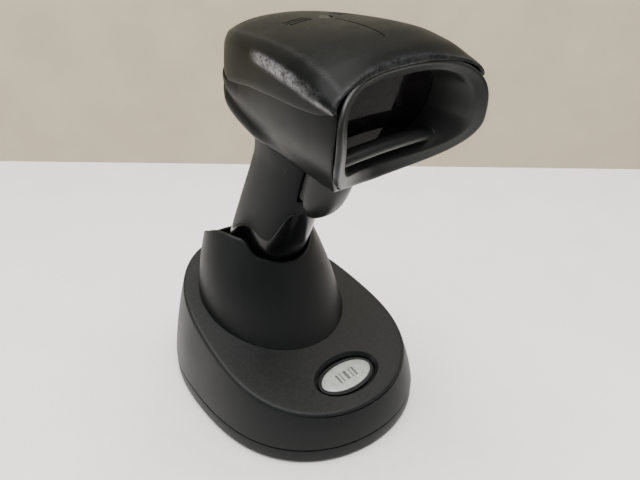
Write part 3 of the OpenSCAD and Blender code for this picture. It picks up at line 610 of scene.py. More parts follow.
def nose_bezel():
    profile = cut_corners(LIP_SECTION, 1)
    rings = [lip_ring(d, b, 14.0 if i > len(profile) / 2 else 15.2)
             for i, (d, b) in enumerate(profile)]
    # funnel from the mouth to the pane seat, then back to the start
    seat = pane_ring(0.6, 15.2)
    rings += between(rings[-1], seat)
    rings += [seat, pane_ring(-0.8, 15.2), pane_ring(-0.8, 16.6), pane_ring(-2, 16.6)]
    rings += between(pane_ring(-2, 16.4), rings[0])
    ob = loft_loop(rings, head, "nose_bezel_ring")
    # ledge across the mouth
    ledge = loft([ledge_ring(x) for x in np.arange(-32, 32.1, 2)], head)
    mouth = [lip_ring(5.9, -8), lip_ring(5.9, 3), lip_ring(6, 4.8, 14.2), pane_ring(0, 15.6)]
    carve(ledge, [loft(mouth, head)], "INTERSECT")
    merge(ob, [ledge])
    return tidy(ob, 40)


# ------------------------------------------------------------------ grip
# (z up the handle, value)
rear_y = law([[-60, 18.8], [-30, 18.9], [0, 17.9], [26, 16.8], [33, 18.4], [38, 21], [44, 25]])
front_y = law([[-60, -17.6], [-30, -18], [0, -18.3], [14, -18.3], [30, -17.4], [50, -16.5]])
grip_half = law([[-60, 15], [-20, 15.1], [10, 14.8], [30, 14.6], [44, 16]])
N_GRIP = 96 if FINE else 56
AROUND_GRIP = circle(N_GRIP)
GRIP_POWER = 0.84       # squareness of the grip and cup sections
FOOT_Z, FOOT_R = -59.5, 1.6     # bottom of the grip and its rounding
CONTACT_X, CONTACT_Y = (-6, -2, 2, 6), -2
CAP_SCREW = (0, 13.2, 0)
PIVOT_Y, PIVOT_Z = -8, 36.2     # trigger pivot


def grip_ring(z, inset, at_z=None):
    t = AROUND_GRIP
    rear, front = rear_y(z), front_y(z)
    return np.stack([(grip_half(z) - inset) * power(np.sin(t), GRIP_POWER),
                     (rear + front) / 2 - ((rear - front) / 2 - inset) * power(np.cos(t), GRIP_POWER),
                     np.full(N_GRIP, float(z if at_z is None else at_z))], 1)


def grip_solid(inset, low, high, name="part"):
    """Filled grip between two heights; one that reaches the foot is rounded there."""
    if low < -59:
        rings = [grip_ring(FOOT_Z, inset + FOOT_R * (1 - math.sin(k)),
                           FOOT_Z + FOOT_R * (1 - math.cos(k)))
                 for k in np.linspace(0, math.pi / 2, 6)]
        low = FOOT_Z + FOOT_R
    else:
        rings = [grip_ring(low, inset)]
    rings += [grip_ring(z, inset) for z in np.arange(low + 1.5, high - 0.7, 1.5)]
    rings.append(grip_ring(high, inset))
    return loft(rings, grip, name)


def parting(gap):
    """(y, z) line where handle and battery cap meet, moved up by the gap."""
    g = gap
    points = [[-40, 15.3 + g], [-17.8 + g * 0.3, 15.2 + g], [-16.2 + g, 14 + g * 0.5],
              [-15.3 + g, 10.5], [-14.5 + g, 5], [-13.3 + g, -2 + g * 0.3],
              [-12 + g * 0.7, -5.6 + g], [-9, -6 + g], [-5, -5.4 + g], [-1, -6.2 + g],
              [4 + g * 0.5, -9.4 + g], [8 + g * 0.7, -15.6 + g * 0.7], [12 + g, -22.6 + g],
              [40, -23 + g]]
    return cut_corners(points, 2).tolist()


def solid_house(grow):
    """Lower housing as a filled body."""
    halves = [house_front(k, -grow, 0, 0) for k in (0, 0.3, 0.65)]
    halves += [house_at(y, -grow, 0) for y in np.arange(FULL_Y, 95, 2.0)]
    return loft([np.vstack([h, h[:0:-1] * np.array([-1, 1, 1])]) for h in halves], head)


def contact_holes(radius, low, high):
    return [rod((x, CONTACT_Y, 0), radius, low, high, grip, n=32) for x in CONTACT_X]


def handle_shell():
    ob = grip_solid(0, -24, 48, "handle_shell_skin")
    carve(ob, [prism(parting(SEAM) + [[40, 70], [-40, 70]], -30, 30, grip)], "INTERSECT")
    # inside, the head's place, and the opening in front for the trigger
    carve(ob, [grip_solid(WALL, -40, 60), solid_house(0.2),
               box((0, -20, 38.5), (15.4, 16, 33), grip)])
    merge(ob, [pipe((x, PIVOT_Y, PIVOT_Z), 2.8, 1.5, -1, 1, grip, axis=0) for x in (-11.7, 11.7)])
    return tidy(ob)


def battery_cap():
    ob = grip_solid(0, -60, 16, "battery_cap_skin")
    carve(ob, [prism(parting(0) + [[40, -90], [-40, -90]], -30, 30, grip)], "INTERSECT")
    carve(ob, [grip_solid(WALL, -57, 30)])
    carve(ob, contact_holes(1.5, -61, -55) + [rod(CAP_SCREW, 2.4, -61, -50, grip, n=32)])
    merge(ob, [screw_post(CAP_SCREW, outer=2.9, bore=1.4, head_bore=2.4, low=-59,
                          shoulder=-23, high=-12.4, place=grip)])
    return tidy(ob)


# trigger pad: z, half width, front y, back y
PAD = [[18.6, 3.2, -24.4, -22.5], [19.3, 5.4, -25.6, -21.9], [21, 7.3, -27.1, -21.4],
       [24, 8.9, -28.8, -21], [28, 9.8, -30, -20.7], [33, 10.1, -30.8, -20.2],
       [39, 10.1, -31.2, -19.7], [43, 10, -31, -19.4]]
pad_laws = [law([[row[0], row[i]] for row in PAD]) for i in (1, 2, 3)]
# (y, z) side view of the arm from the pad to the pivot
TRIGGER_ARM = [(-22.2, 25), (-15.9, 24.5), (-13.6, 22.4), (-10.4, 22.6), (-9, 26), (-5, 31.5),
               (-4.2, 36), (-5.4, 38.9), (-10, 39.9), (-22.4, 41)]


def pad_ring(z):
    t = circle(72)
    half, front, back = (float(value(z)) for value in pad_laws)
    c, s = np.cos(t), np.sin(t)
    rim = back - 1
    x = half * np.where(c > 0, power(s, 0.9), power(s, 0.5))
    y = np.where(c > 0, rim - (rim - front) * np.abs(c) ** 0.9, rim + np.abs(c) ** 0.5)
    return np.stack([x, y, np.full(72, float(z))], 1)


def below_head(points):
    """From a frame along the head's underside to the world."""
    return head(turned(points, math.radians(-6.2), (0, 40, -32.9)))


def trigger():
    zs = np.concatenate([[18.6, 18.7, 18.85, 19.05, 19.3, 19.7, 20.2], np.arange(20.9, 43, 0.8),
                         [43]])
    ob = loft([pad_ring(z) for z in zs], grip, "trigger_pad")
    carve(ob, [box((0, 0, 9), (60, 90, 20), below_head)])    # room for the head
    arm = prism(TRIGGER_ARM, -7, 7, grip)
    carve(arm, [rod((0, PIVOT_Y, PIVOT_Z), 1.55, -15, 15, grip, axis=0)])
    merge(ob, [arm])
    return tidy(ob, 40)


# ------------------------------------------------------------------ cradle base
N_BASE = 192 if FINE else 96
AROUND_BASE = circle(N_BASE)    # from the front
PLATE_TOP = 7.25
SCREWS = pairs([(33.12, -50.96), (30.36, 21.56)])
FEET = pairs([(28, -62), (40, -18), (24, 34)])
MIDDLE_POSTS = [(0, y, 0) for y in (-34, 16)]
CUP_GAP = 0.7       # between grip and cup


def base_xy(up, inset):
    """Plan outline of the base, from the foot (up = 0) to the roof edge (up = 1)."""
    t = AROUND_BASE
    r = (58.7 - 3.64 * np.cos(t) + 7.66 * np.cos(2 * t) - 1.81 * np.cos(3 * t)
         - 0.25 * np.cos(4 * t) - 0.19 * np.cos(5 * t)
         - up * (6.18 - 1.61 * np.cos(t) + 0.17 * np.cos(2 * t))) - inset
    return np.stack([r * np.sin(t), -20.57 - r * np.cos(t)], 1)


def base_ring(inset, z):
    return np.column_stack([base_xy(0, inset), np.full(N_BASE, z)])


def roof_z(y):
    s = (y + 14) / 66
    return 36.5 + 16.12 * s + 0.71 * s * s


def crowned_roof_z(x, y):
    return roof_z(y) + 0.6 * np.maximum(0, 1 - (x / 44.6) ** 2 - ((y + 16) / 60) ** 2)


def wall_ring(k, inset, foot_z):
    eaves = roof_z(base_xy(1, inset)[:, 1]) - inset
    return np.column_stack([base_xy(k * k * 0.45 + k * 0.55, inset), foot_z + (eaves - foot_z) * k])


def roof_ring(k, inset):
    q = base_xy(1, inset)
    x, y = q[:, 0] * k, -16 + (q[:, 1] + 16) * k
    return np.column_stack([x, y, roof_z(y) - inset + 0.6 * (1 - k * k)])


def base_rings(inset, foot_z, radius):
    """Foot, wall, ridge and roof; a radius rounds the ridge and the foot."""
    # (height share, extra inset) at the foot
    foot = ((0, 0.5), (0.006, 0.16), (0.016, 0)) if radius else ((0, 0),)
    rings = [wall_ring(k, inset + extra, foot_z) for k, extra in foot]
    rings += [wall_ring(k, inset, foot_z) for k in np.linspace(0, 1, 15)[1:-1]]
    ridge = roof_ring(1, inset)
    if radius:
        down, inward = wall_ring(0.9, inset, foot_z) - ridge, roof_ring(0.9, inset) - ridge
        P = ridge + down / np.linalg.norm(down, axis=1)[:, None] * radius
        Q = ridge + inward / np.linalg.norm(inward, axis=1)[:, None] * radius
        rings += [P * (1 - k) ** 2 + ridge * 2 * k * (1 - k) + Q * k * k
                  for k in np.linspace(0, 1, 7)]
    else:
        rings.append(ridge)
    return rings + [roof_ring(k, inset) for k in np.concatenate([np.linspace(0.95, 0.2, 14), [0.06]])]


def cup_outline(t, grow):
    """Section of the cup, in the grip frame."""
    return ((15.1 + grow) * power(np.sin(t), GRIP_POWER),
            0.45 - (18.5 + grow) * power(np.cos(t), GRIP_POWER))


# flared dish around the call button: half width, half height, z
BUTTON_DISH = [(15.5, 8.8, -2.6), (15.55, 8.85, -1.9), (15.9, 9.15, -1.35), (16.4, 9.6, -0.7),
               (16.9, 10.1, -0.15), (17.5, 10.7, 0.35), (18.6, 11.8, 1.2), (18.6, 11.8, 6)]


def base_cover():
    ob = loft(base_rings(0, PLATE_TOP + 0.5, 1.5), cradle, "base_cover_skin")
    cup = [tuple(float(v) for v in cup_outline(t, CUP_GAP + 2.2)) for t in circle(64)]
    button_well = [(15.4 * math.cos(t), 8.7 * math.sin(t)) for t in circle(96)]
    carve(ob, [loft(base_rings(2, -6, 0), cradle),
               column(cup, -76, -16, grip),
               column(button_well, -8, 0, slope),
               oval_body(BUTTON_DISH, slope),
               # square and round openings in the rear wall
               box((-9, 47, 17), (13, 22, 12), cradle),
               rod((8.5, 0, 17), 4, 38, 58, cradle, axis=1)])
    merge(ob, [pipe((x, y, 0), 3, 1.2, 7.4, float(roof_z(y)) - 2.4, cradle) for x, y in SCREWS])
    return tidy(ob, 28)


def base_plate():
    gap, radius = 0.15, 0.8     # inset from the base outline, rounding of the lower edge
    rings = [base_ring(gap + radius * (1 - math.sin(t)), 0.8 + radius * (1 - math.cos(t)))
             for t in np.linspace(0, math.pi / 2, 5)]
    # (inset, z) of the upper edge
    rings += [base_ring(d, z) for d, z in ((gap, 6.7), (0.24, 6.92), (0.5, 7.04), (1.4, 7.06),
                                           (1.5, PLATE_TOP))]
    ob = loft(rings, cradle, "base_plate_pan")
    carve(ob, [column(base_xy(0, 2.4), 2.8, 9, cradle)]
          + [rod((x, y, 0), 2.8, -1, 4.4, cradle) for x, y in SCREWS]
          + [rod((x, y, 0), 5.05, -1, 2.0, cradle) for x, y in FEET]
          + [rod(at, 1.7, -1, 4, cradle) for at in MIDDLE_POSTS])
    merge(ob, [screw_post((x, y, 0), outer=3.4, bore=1.5, head_bore=2.8, low=2.7, shoulder=4.4,
                          high=7.3, place=cradle) for x, y in SCREWS]
          + [pipe(at, 4.4, 1.7, 2.7, 7.2, cradle) for at in MIDDLE_POSTS])
    return tidy(ob, 30)


# ------------------------------------------------------------------ neck and cup
# rim height by degrees from the front, the same on both sides
rim_law = law([[0, 67.5], [11, 68], [21, 69], [30, 70.3], [35, 71], [40, 72.4], [44, 74.6],
               [48, 77.2], [53, 78.3], [60, 78.7], [72, 79.3], [88, 78.5], [96, 77.4],
               [105, 75.6], [115, 73.6], [124, 71.8], [135, 69.2], [150, 65.4], [165, 62.4],
               [180, 61.2]])
AROUND_NECK = circle(180 if FINE else 90)
RIM_R = 0.9         # rim rounding, half the neck's wall


def rim_z(t):
    angle = np.degrees(t) % 360
    return rim_law(np.abs(np.where(angle > 180, angle - 360, angle)))


def neck_point(t, z, inset):
    q = (z - 36) / 41.7     # 0 at the foot, 1 at the mean rim
    swell = np.sin(math.pi * np.clip(q, 0, 1))
    rx = 34.9 - 10.9 * q + 1.3 * swell - inset
    ry = 35.8 - 11.8 * q + 1.1 * swell - inset
    return np.stack([rx * np.sin(t), -1.7 + 8.6 * q - ry * np.cos(t), z], -1)


def neck_foot_z(inset):
    """Height where the neck meets the roof, found in three steps."""
    t = AROUND_NECK
    P = neck_point(t, roof_z(-1.7 - 35.8 * np.cos(t)) + 0.4, inset)
    P = neck_point(t, crowned_roof_z(P[:, 0], P[:, 1]), inset)
    return crowned_roof_z(P[:, 0], P[:, 1]) + 0.12


def neck_ring(k, inset, drop):
    foot = neck_foot_z(inset)
    return neck_point(AROUND_NECK, foot + (rim_z(AROUND_NECK) - drop - foot) * k, inset)


def cradle_neck():
    rings = [neck_ring(k, 0, RIM_R * k) for k in np.linspace(0, 1, 16)]
    rings += [neck_ring(1, RIM_R - RIM_R * math.cos(t), RIM_R - RIM_R * math.sin(t))
              for t in np.linspace(0, math.pi, 9)[1:-1]]
    rings += [neck_ring(k, 2 * RIM_R, RIM_R * k) for k in np.linspace(1, 0, 12)]
    return tidy(loft_loop(rings, cradle, "cradle_neck_skin"), 40)


def sleeve(grow, z):
    """Cup section at z of the grip frame, as points of the cradle frame."""
    x, y = cup_outline(AROUND_GRIP, grow)
    c, s = math.cos(GRIP_LEAN), math.sin(GRIP_LEAN)
    return np.stack([x, GRIP_Y + y * c - z * s, GRIP_Z + y * s + z * c], -1)


def liner_side(depths, grow, inset):
    """One face of the liner from bottom to top: straight sleeve, then funnel up into the neck."""
    t = AROUND_GRIP
    top, bottom = neck_point(t, rim_z(t) - 7, inset), sleeve(grow, -50)
    return ([sleeve(grow, z) for z in depths]
            + [top + (bottom - top) * k for k in np.linspace(1, 0, 8)])


def cup_liner():
    # the liner's darker plastic, up the funnel into the neck, paints the shade inside the cup
    outer = liner_side((-63, -56), CUP_GAP + 1.6, 2.3)
    inner = liner_side((-59.6, -55), CUP_GAP, 3.8)
    ob = loft(outer + inner[::-1], cradle, "cup_liner_sleeve")
    carve(ob, contact_holes(1.3, -64, -58))
    return tidy(ob, 40)


# ------------------------------------------------------------------ call button and badge
# half width, half height, z
BUTTON_CAP = [(13.2, 6.5, -2.8), (13.2, 6.5, -4.0), (16.6, 9.9, -4.0), (16.6, 9.9, -3.0),
              (15.1, 8.4, -3.0), (15.1, 8.4, -1.75), (15.0, 8.3, -1.5), (14.8, 8.1, -1.36),
              (14.5, 7.8, -1.3), (14.1, 7.4, -1.32), (13.7, 6.9, -1.45), (13.55, 6.75, -1.75)]
BADGE = [(13.45, 6.65, -1.75), (13.45, 6.65, -1.36), (13.3, 6.5, -1.2), (12.95, 6.15, -1.14),
         (9, 4.2, -1.08), (0, 0, -1.05)]
BARS = ((-4.6, 1.0), (-2.6, 0.6), (0, 1.6), (2.6, 0.6), (4.6, 1.0))     # x, width
BAR_EDGE = ((0, -1.2), (0, -1.03), (0.06, -0.97))                       # inset, z


def call_button():
    ob = oval_body(BUTTON_CAP, slope, "page_button_cap")
    merge(ob, [rod((0, 0, 0), 1.8, -2.7, -4.0, slope)])
    return tidy(ob, 40)


def button_badge():
    return tidy(oval_body(BADGE, slope, "page_badge_plate"), 50)


def bar_ring(x, width, inset, z):
    left, right, end = x - width / 2 + inset, x + width / 2 - inset, 2.4 - inset
    return np.array([(left, -end, z), (right, -end, z), (right, end, z), (left, end, z)])


def badge_bars():
    bars = [loft([bar_ring(x, width, d, z) for d, z in BAR_EDGE], slope, "page_badge_bars")
            for x, width in BARS]
    merge(bars[0], bars[1:])
    return tidy(bars[0], 50)


# ------------------------------------------------------------------ material helper
def linear(v):
    v = v / 255.0
    return v / 12.92 if v <= 0.04045 else ((v + 0.055) / 1.055) ** 2.4


def rgb(code):
    return tuple(linear(int(code[i:i + 2], 16)) for i in (1, 3, 5)) + (1.0,)


def shade(color, gain, lift=0):
    return tuple(min(1, x * gain + lift) for x in color[:3]) + (1,)


class Mat:
    """A material with one principled shader and object coordinates in mm."""

    def __init__(self, name):
        self.material = bpy.data.materials.new(name)
        self.material.use_nodes = True
        self.tree = self.material.node_tree
        self.tree.nodes.clear()
        self.link = self.tree.links.new
        self.out = self.new("OutputMaterial")
        self.shader = self.new("BsdfPrincipled")
        self.link(self.shader.outputs[0], self.out.inputs[0])
        coords = self.new("TexCoord")
        self.co = self.mapped(coords.outputs["Object"], (1000, 1000, 1000))

    def new(self, kind):
        return self.tree.nodes.new("ShaderNode" + kind)

    def put(self, socket, value):
        if isinstance(value, bpy.types.NodeSocket):
            self.link(value, socket)
        else:
            socket.default_value = value

    def mapped(self, co, scale, turn=None):
        node = self.new("Mapping")
        node.inputs["Scale"].default_value = scale
        if turn is not None:
            node.inputs["Rotation"].default_value = turn
        self.link(co, node.inputs[0])
        return node.outputs[0]

    def noise(self, scale, detail=3.0, rough=0.5, warp=0.0, stretch=None, turn=None):
        """Noise whose scale is in features per mm."""
        co = self.mapped(self.co, stretch, turn) if stretch is not None else self.co
        node = self.new("TexNoise")
        node.inputs["Scale"].default_value = scale
        node.inputs["Detail"].default_value = detail
        node.inputs["Roughness"].default_value = rough
        node.inputs["Distortion"].default_value = warp
        self.link(co, node.inputs["Vector"])
        return node.outputs["Fac"]

    def remap(self, value, span, to=(0, 1)):
        node = self.new("MapRange")
        for i, x in zip((1, 2, 3, 4), (*span, *to)):
            node.inputs[i].default_value = x
        self.link(value, node.inputs[0])
        return node.outputs[0]

    def calc(self, operation, a, b, clamp=False):
        node = self.new("Math")
        node.operation = operation
        node.use_clamp = clamp
        self.put(node.inputs[0], a)
        self.put(node.inputs[1], b)
        return node.outputs[0]

    def add(self, a, b):
        return self.calc("ADD", a, b)

    def sub(self, a, b):
        return self.calc("SUBTRACT", a, b)

    def mul(self, a, b, clamp=False):
        return self.calc("MULTIPLY", a, b, clamp)

    def mix(self, share, a, b):
        node = self.new("Mix")
        node.data_type = "RGBA"
        self.put(node.inputs[0], share)
        self.put(node.inputs[6], a)
        self.put(node.inputs[7], b)
        return node.outputs[2]

    def edges(self, radius):
        """Mask that rises at edges, and the normal rounded by radius mm."""
        bevel = self.new("Bevel")
        bevel.samples = 4
        bevel.inputs["Radius"].default_value = radius / 1000
        geometry = self.new("NewGeometry")
        dot = self.new("VectorMath")
        dot.operation = "DOT_PRODUCT"
        self.link(bevel.outputs[0], dot.inputs[0])
        self.link(geometry.outputs["Normal"], dot.inputs[1])
        gain = 3.0
        return self.mul(self.sub(1.0, dot.outputs["Value"]), gain, True), bevel.outputs[0]

    def bump(self, height, strength, depth, normal=None):
        """Bump normal; depth in mm."""
        node = self.new("Bump")
        node.inputs["Strength"].default_value = strength
        node.inputs["Distance"].default_value = depth / 1000
        self.link(height, node.inputs["Height"])
        if normal is not None:
            self.link(normal, node.inputs["Normal"])
        return node.outputs[0]

    def set(self, **values):
        """Shader inputs by name, with _ for each space."""
        for name, value in values.items():
            self.put(self.shader.inputs[name.replace("_", " ")], value)
        return self.material


# ------------------------------------------------------------------ materials
def plastic(name, base, rough, grain, bump, wear_and_sheen, dust=0.0, coat=0.0, rub_and_highlight=False, spec=0.5,
            blotch=0.18):
    """Moulded plastic: fine grain, blotchy sheen, hairline scratches, paler worn edges."""
    M = Mat(name)
    c = rgb(base)
    big = M.noise(scale=0.045, detail=4, rough=0.6)
    col = M.mix(M.remap(big, span=(0.3, 0.7)), shade(c, 0.72), c)
    speck = M.noise(scale=5.5, detail=2)
    col = M.mix(M.mul(M.remap(speck, span=(0.55, 0.8)), blotch), col, shade(c, 1.9, lift=0.02))
    edge, rounded = M.edges(radius=0.5)
    patches = M.noise(scale=0.22, detail=4, rough=0.65)
    worn = M.mul(edge, M.remap(patches, span=(0.38, 0.72), to=(0.1, 1)), True)
    col = M.mix(M.mul(worn, wear_and_sheen), col, shade(c, 3, lift=0.10))
    # worn edges are smoother, scratches rougher
    gloss = M.add(rough, M.mul(M.sub(big, 0.5), 0.22))
    streak = M.noise(scale=0.9, detail=3, rough=0.7, warp=0.4, stretch=(0.25, 5.0, 1.2),
                     turn=(0.5, 0.2, 0.9))
    gloss = M.add(gloss, M.mul(M.remap(streak, span=(0.62, 0.72)), 0.12))
    gloss = M.sub(gloss, M.mul(worn, 0.1))
    shine = M.add(spec, M.mul(worn, 0.3))
    if rub_and_highlight:
        # grey rubbed patches where the mesh carries wear; along the head's bulge roll the grey also
        # paints its highlight
        node = M.new("Attribute")
        node.attribute_name = "wear_and_sheen"
        rubbed_and_lit = node.outputs["Fac"]
        n = M.add(M.mul(M.noise(scale=1.3, detail=5, rough=0.8, warp=0.3), 0.62),
                  M.mul(M.noise(scale=0.28, detail=4, rough=0.6), 0.38))
        mask = M.mul(rubbed_and_lit, M.remap(n, span=(0.42, 0.58)), True)
        col = M.mix(M.mul(mask, 0.85), col, (0.34, 0.34, 0.37, 1))
        gloss = M.sub(gloss, M.mul(rubbed_and_lit, 0.12))
        shine = M.add(shine, M.mul(rubbed_and_lit, 0.3))
    if dust:
        # dust on faces that look up
        geometry = M.new("NewGeometry")
        split = M.new("SeparateXYZ")
        M.link(geometry.outputs["Normal"], split.inputs[0])
        up = M.remap(split.outputs["Z"], span=(0.5, 1.0))
        flecks = M.noise(scale=0.7, detail=6, rough=0.8)
        mask = M.mul(up, M.remap(flecks, span=(0.42, 0.75), to=(0.1, 1)), True)
        col = M.mix(M.mul(mask, dust), col, (0.30, 0.29, 0.27, 1))
        gloss = M.add(gloss, M.mul(mask, 0.15))
    gloss = M.calc("MAXIMUM", gloss, 0.12)
    height = M.add(M.noise(scale=grain, detail=3, rough=0.6),
                   M.mul(M.noise(scale=grain * 0.35, detail=2), 0.6))
    return M.set(Base_Color=col, Roughness=gloss, Normal=M.bump(height, bump, 0.12, rounded),
                 Coat_Weight=coat, Coat_Roughness=0.12, Specular_IOR_Level=shine)


def metal(name, base, rough, brushed):
    """Stained metal with a grain stretched by the brushed scales, brighter at edges."""
    M = Mat(name)
    c = rgb(base)
    n = M.noise(scale=1.2, detail=4, rough=0.65, warp=0.2, stretch=brushed)
    stain = M.noise(scale=0.35, detail=5, rough=0.6)
    col = M.mix(M.remap(stain, span=(0.35, 0.7)), shade(c, 0.72), c)
    edge, rounded = M.edges(radius=0.15)
    col = M.mix(M.mul(edge, 0.4), col, shade(c, 1.2, lift=0.08))
    gloss = M.add(rough, M.mul(M.sub(n, 0.5), 0.3))
    return M.set(Base_Color=col, Metallic=1.0, Roughness=gloss,
                 Normal=M.bump(n, strength=0.15, depth=0.05, normal=rounded))


def board(name, base):
    """Circuit board: solder mask over copper runs, small pads."""
    M = Mat(name)
    c = rgb(base)
    brick = M.new("TexBrick")
    brick.inputs["Scale"].default_value = 0.32
    brick.inputs["Mortar Size"].default_value = 0.045
    brick.inputs["Mortar Smooth"].default_value = 0.2
    M.link(M.co, brick.inputs["Vector"])
    run = brick.outputs["Fac"]
    cells = M.new("TexVoronoi")
    cells.inputs["Scale"].default_value = 0.45
    M.link(M.co, cells.inputs["Vector"])
    pads = M.remap(cells.outputs["Distance"], span=(0.10, 0.14), to=(1, 0))
    big = M.noise(scale=0.3, detail=4, rough=0.6)
    col = M.mix(M.remap(big, span=(0.3, 0.7)), shade(c, 0.7), c)
    col = M.mix(M.mul(run, 0.55), col, shade(c, 2.1, lift=0.01))
    col = M.mix(pads, col, (0.78, 0.66, 0.36, 1))
    height = M.add(M.mul(run, 0.5), pads)
    return M.set(Base_Color=col, Roughness=M.sub(0.42, M.mul(pads, 0.12)),
                 Metallic=M.mul(pads, 0.8), Normal=M.bump(height, strength=0.4, depth=0.05))


def rubber(name, base):
    M = Mat(name)
    c = rgb(base)
    n, fine = M.noise(scale=0.25, detail=5, rough=0.65), M.noise(scale=3.5, detail=3, rough=0.6)
    col = M.mix(M.remap(n, span=(0.35, 0.7)), c, shade(c, 1.8, lift=0.012))
    return M.set(Base_Color=col, Roughness=M.remap(n, span=(0.3, 0.7), to=(0.72, 0.9)),
                 Normal=M.bump(fine, strength=0.25, depth=0.1), Specular_IOR_Level=0.3)


def clear(name, base, rough, trans, ior):
    """See-through material with faint smears."""
    M = Mat(name)
    c = rgb(base)
    n = M.noise(scale=0.5, detail=4, rough=0.6)
    smear = M.noise(scale=0.12, detail=5, rough=0.7, warp=0.6)
    col = M.mix(M.remap(n, span=(0.3, 0.7), to=(0, 0.5)), c, shade(c, 0.8))
    return M.set(Base_Color=col, Transmission_Weight=trans, IOR=ior,
                 Roughness=M.remap(smear, span=(0.4, 0.75), to=(rough, rough + 0.12)),
                 Coat_Weight=0.0, Coat_Roughness=0.05,
                 Normal=M.bump(M.noise(scale=1.5, detail=3, rough=0.6), strength=0.02, depth=0.05))


def tinted_pane(name):
    """Nearly black pane, mirror-smooth with a few smears."""
    M = Mat(name)
    smear = M.noise(scale=0.12, detail=5, rough=0.7, warp=0.8)
    col = M.mix(M.remap(smear, span=(0.3, 0.7)), (0.0022, 0.0018, 0.0026, 1), (0.006, 0.005, 0.006, 1))
    return M.set(Base_Color=col, Roughness=M.remap(smear, span=(0.45, 0.75), to=(0.05, 0.22)),
                 Specular_IOR_Level=0.05,
                 Normal=M.bump(M.noise(scale=0.8, detail=3), strength=0.01, depth=0.03))


def badge_silver(name):
    M = Mat(name)
    n, fine = M.noise(scale=0.3, detail=4, rough=0.6), M.noise(scale=4, detail=3, rough=0.6)
    col = M.mix(M.remap(n, span=(0.3, 0.7)), (0.28, 0.30, 0.28, 1), (0.40, 0.43, 0.40, 1))
    col = M.mix(M.mul(M.remap(fine, span=(0.55, 0.75)), 0.2), col, (0.2, 0.21, 0.2, 1))
    return M.set(Base_Color=col, Metallic=0.35,
                 Roughness=M.remap(n, span=(0.3, 0.7), to=(0.3, 0.45)), Coat_Weight=0.3,
                 Coat_Roughness=0.15, Normal=M.bump(fine, strength=0.05, depth=0.05))


def bar_grey(name):
    M = Mat(name)
    n = M.noise(scale=1.2, detail=4, rough=0.6)
    col = M.mix(M.remap(n, span=(0.3, 0.7)), (0.07, 0.075, 0.075, 1), (0.12, 0.125, 0.125, 1))
    return M.set(Base_Color=col, Roughness=M.remap(n, span=(0.3, 0.7), to=(0.35, 0.5)),
                 Normal=M.bump(n, strength=0.1, depth=0.05))


LOOKS = {
    "head_plastic": (plastic, dict(base="#0f1211", rough=0.36, grain=2.4, bump=0.06, wear_and_sheen=0.30,
                                   dust=0.03, rub_and_highlight=True, spec=0.05, blotch=0.06)),
    "bezel_plastic": (plastic, dict(base="#161918", rough=0.40, grain=2.8, bump=0.08, wear_and_sheen=0.45,
                                    dust=0.05, spec=0.3, blotch=0.1)),
    "grip_plastic": (plastic, dict(base="#121516", rough=0.44, grain=2.6, bump=0.09, wear_and_sheen=0.4,
                                   spec=0.12, blotch=0.1)),
    "cap_plastic": (plastic, dict(base="#08090b", rough=0.18, grain=1.6, bump=0.03, wear_and_sheen=0.3,
                                  coat=0.08, spec=0.25, blotch=0.05)),
    "trigger_plastic": (plastic, dict(base="#0e1010", rough=0.36, grain=2.0, bump=0.06, wear_and_sheen=0.4,
                                      spec=0.25, blotch=0.08)),
    "cradle_plastic": (plastic, dict(base="#101314", rough=0.44, grain=1.9, bump=0.10, wear_and_sheen=0.7,
                                     dust=0.05, spec=0.22, blotch=0.08)),
    # darker than the cradle plastic: painted shade inside the cup
    "liner_plastic": (plastic, dict(base="#0a0b0b", rough=0.55, grain=2.2, bump=0.1, wear_and_sheen=0.25,
                                    blotch=0.05)),
    "black_part": (plastic, dict(base="#1a1b1d", rough=0.5, grain=2.5, bump=0.15, wear_and_sheen=0.25)),
    "red_part": (plastic, dict(base="#a01c24", rough=0.4, grain=2.5, bump=0.1, wear_and_sheen=0.2)),
    "cell_wrap": (plastic, dict(base="#2d6aa0", rough=0.3, grain=1.2, bump=0.04, wear_and_sheen=0.2, coat=0.4)),
    "cast_alloy": (metal, dict(base="#7b7f84", rough=0.45, brushed=(1, 1, 1))),
    "brass_part": (metal, dict(base="#b89a55", rough=0.28, brushed=(1, 1, 12))),
    "steel_can": (metal, dict(base="#b2b6ba", rough=0.3, brushed=(6, 1, 1))),
    "steel_part": (metal, dict(base="#bcc0c4", rough=0.25, brushed=(2, 2, 8))),
    "gold_contact": (metal, dict(base="#d8b55a", rough=0.2, brushed=(1, 1, 4))),
    "circuit_board": (board, dict(base="#1c5a38")),
    "black_rubber": (rubber, dict(base="#101011")),
    "lens_glass": (clear, dict(base="#9fb8d8", rough=0.02, trans=0.92, ior=1.6)),
    "led_resin": (clear, dict(base="#efe8c8", rough=0.08, trans=0.7, ior=1.5)),
    "light_pipe": (clear, dict(base="#1c2422", rough=0.2, trans=0.15, ior=1.45)),
    "flex_film": (clear, dict(base="#b9742e", rough=0.35, trans=0.15, ior=1.5)),
    "window_tint": (tinted_pane, {}),
    "badge_print": (badge_silver, {}),
}
MATS = {name: make(name, **values) for name, (make, values) in LOOKS.items()}


def dress(ob, material):
    ob.data.materials.clear()
    ob.data.materials.append(material)
    for face in ob.data.polygons:
        face.material_index = 0


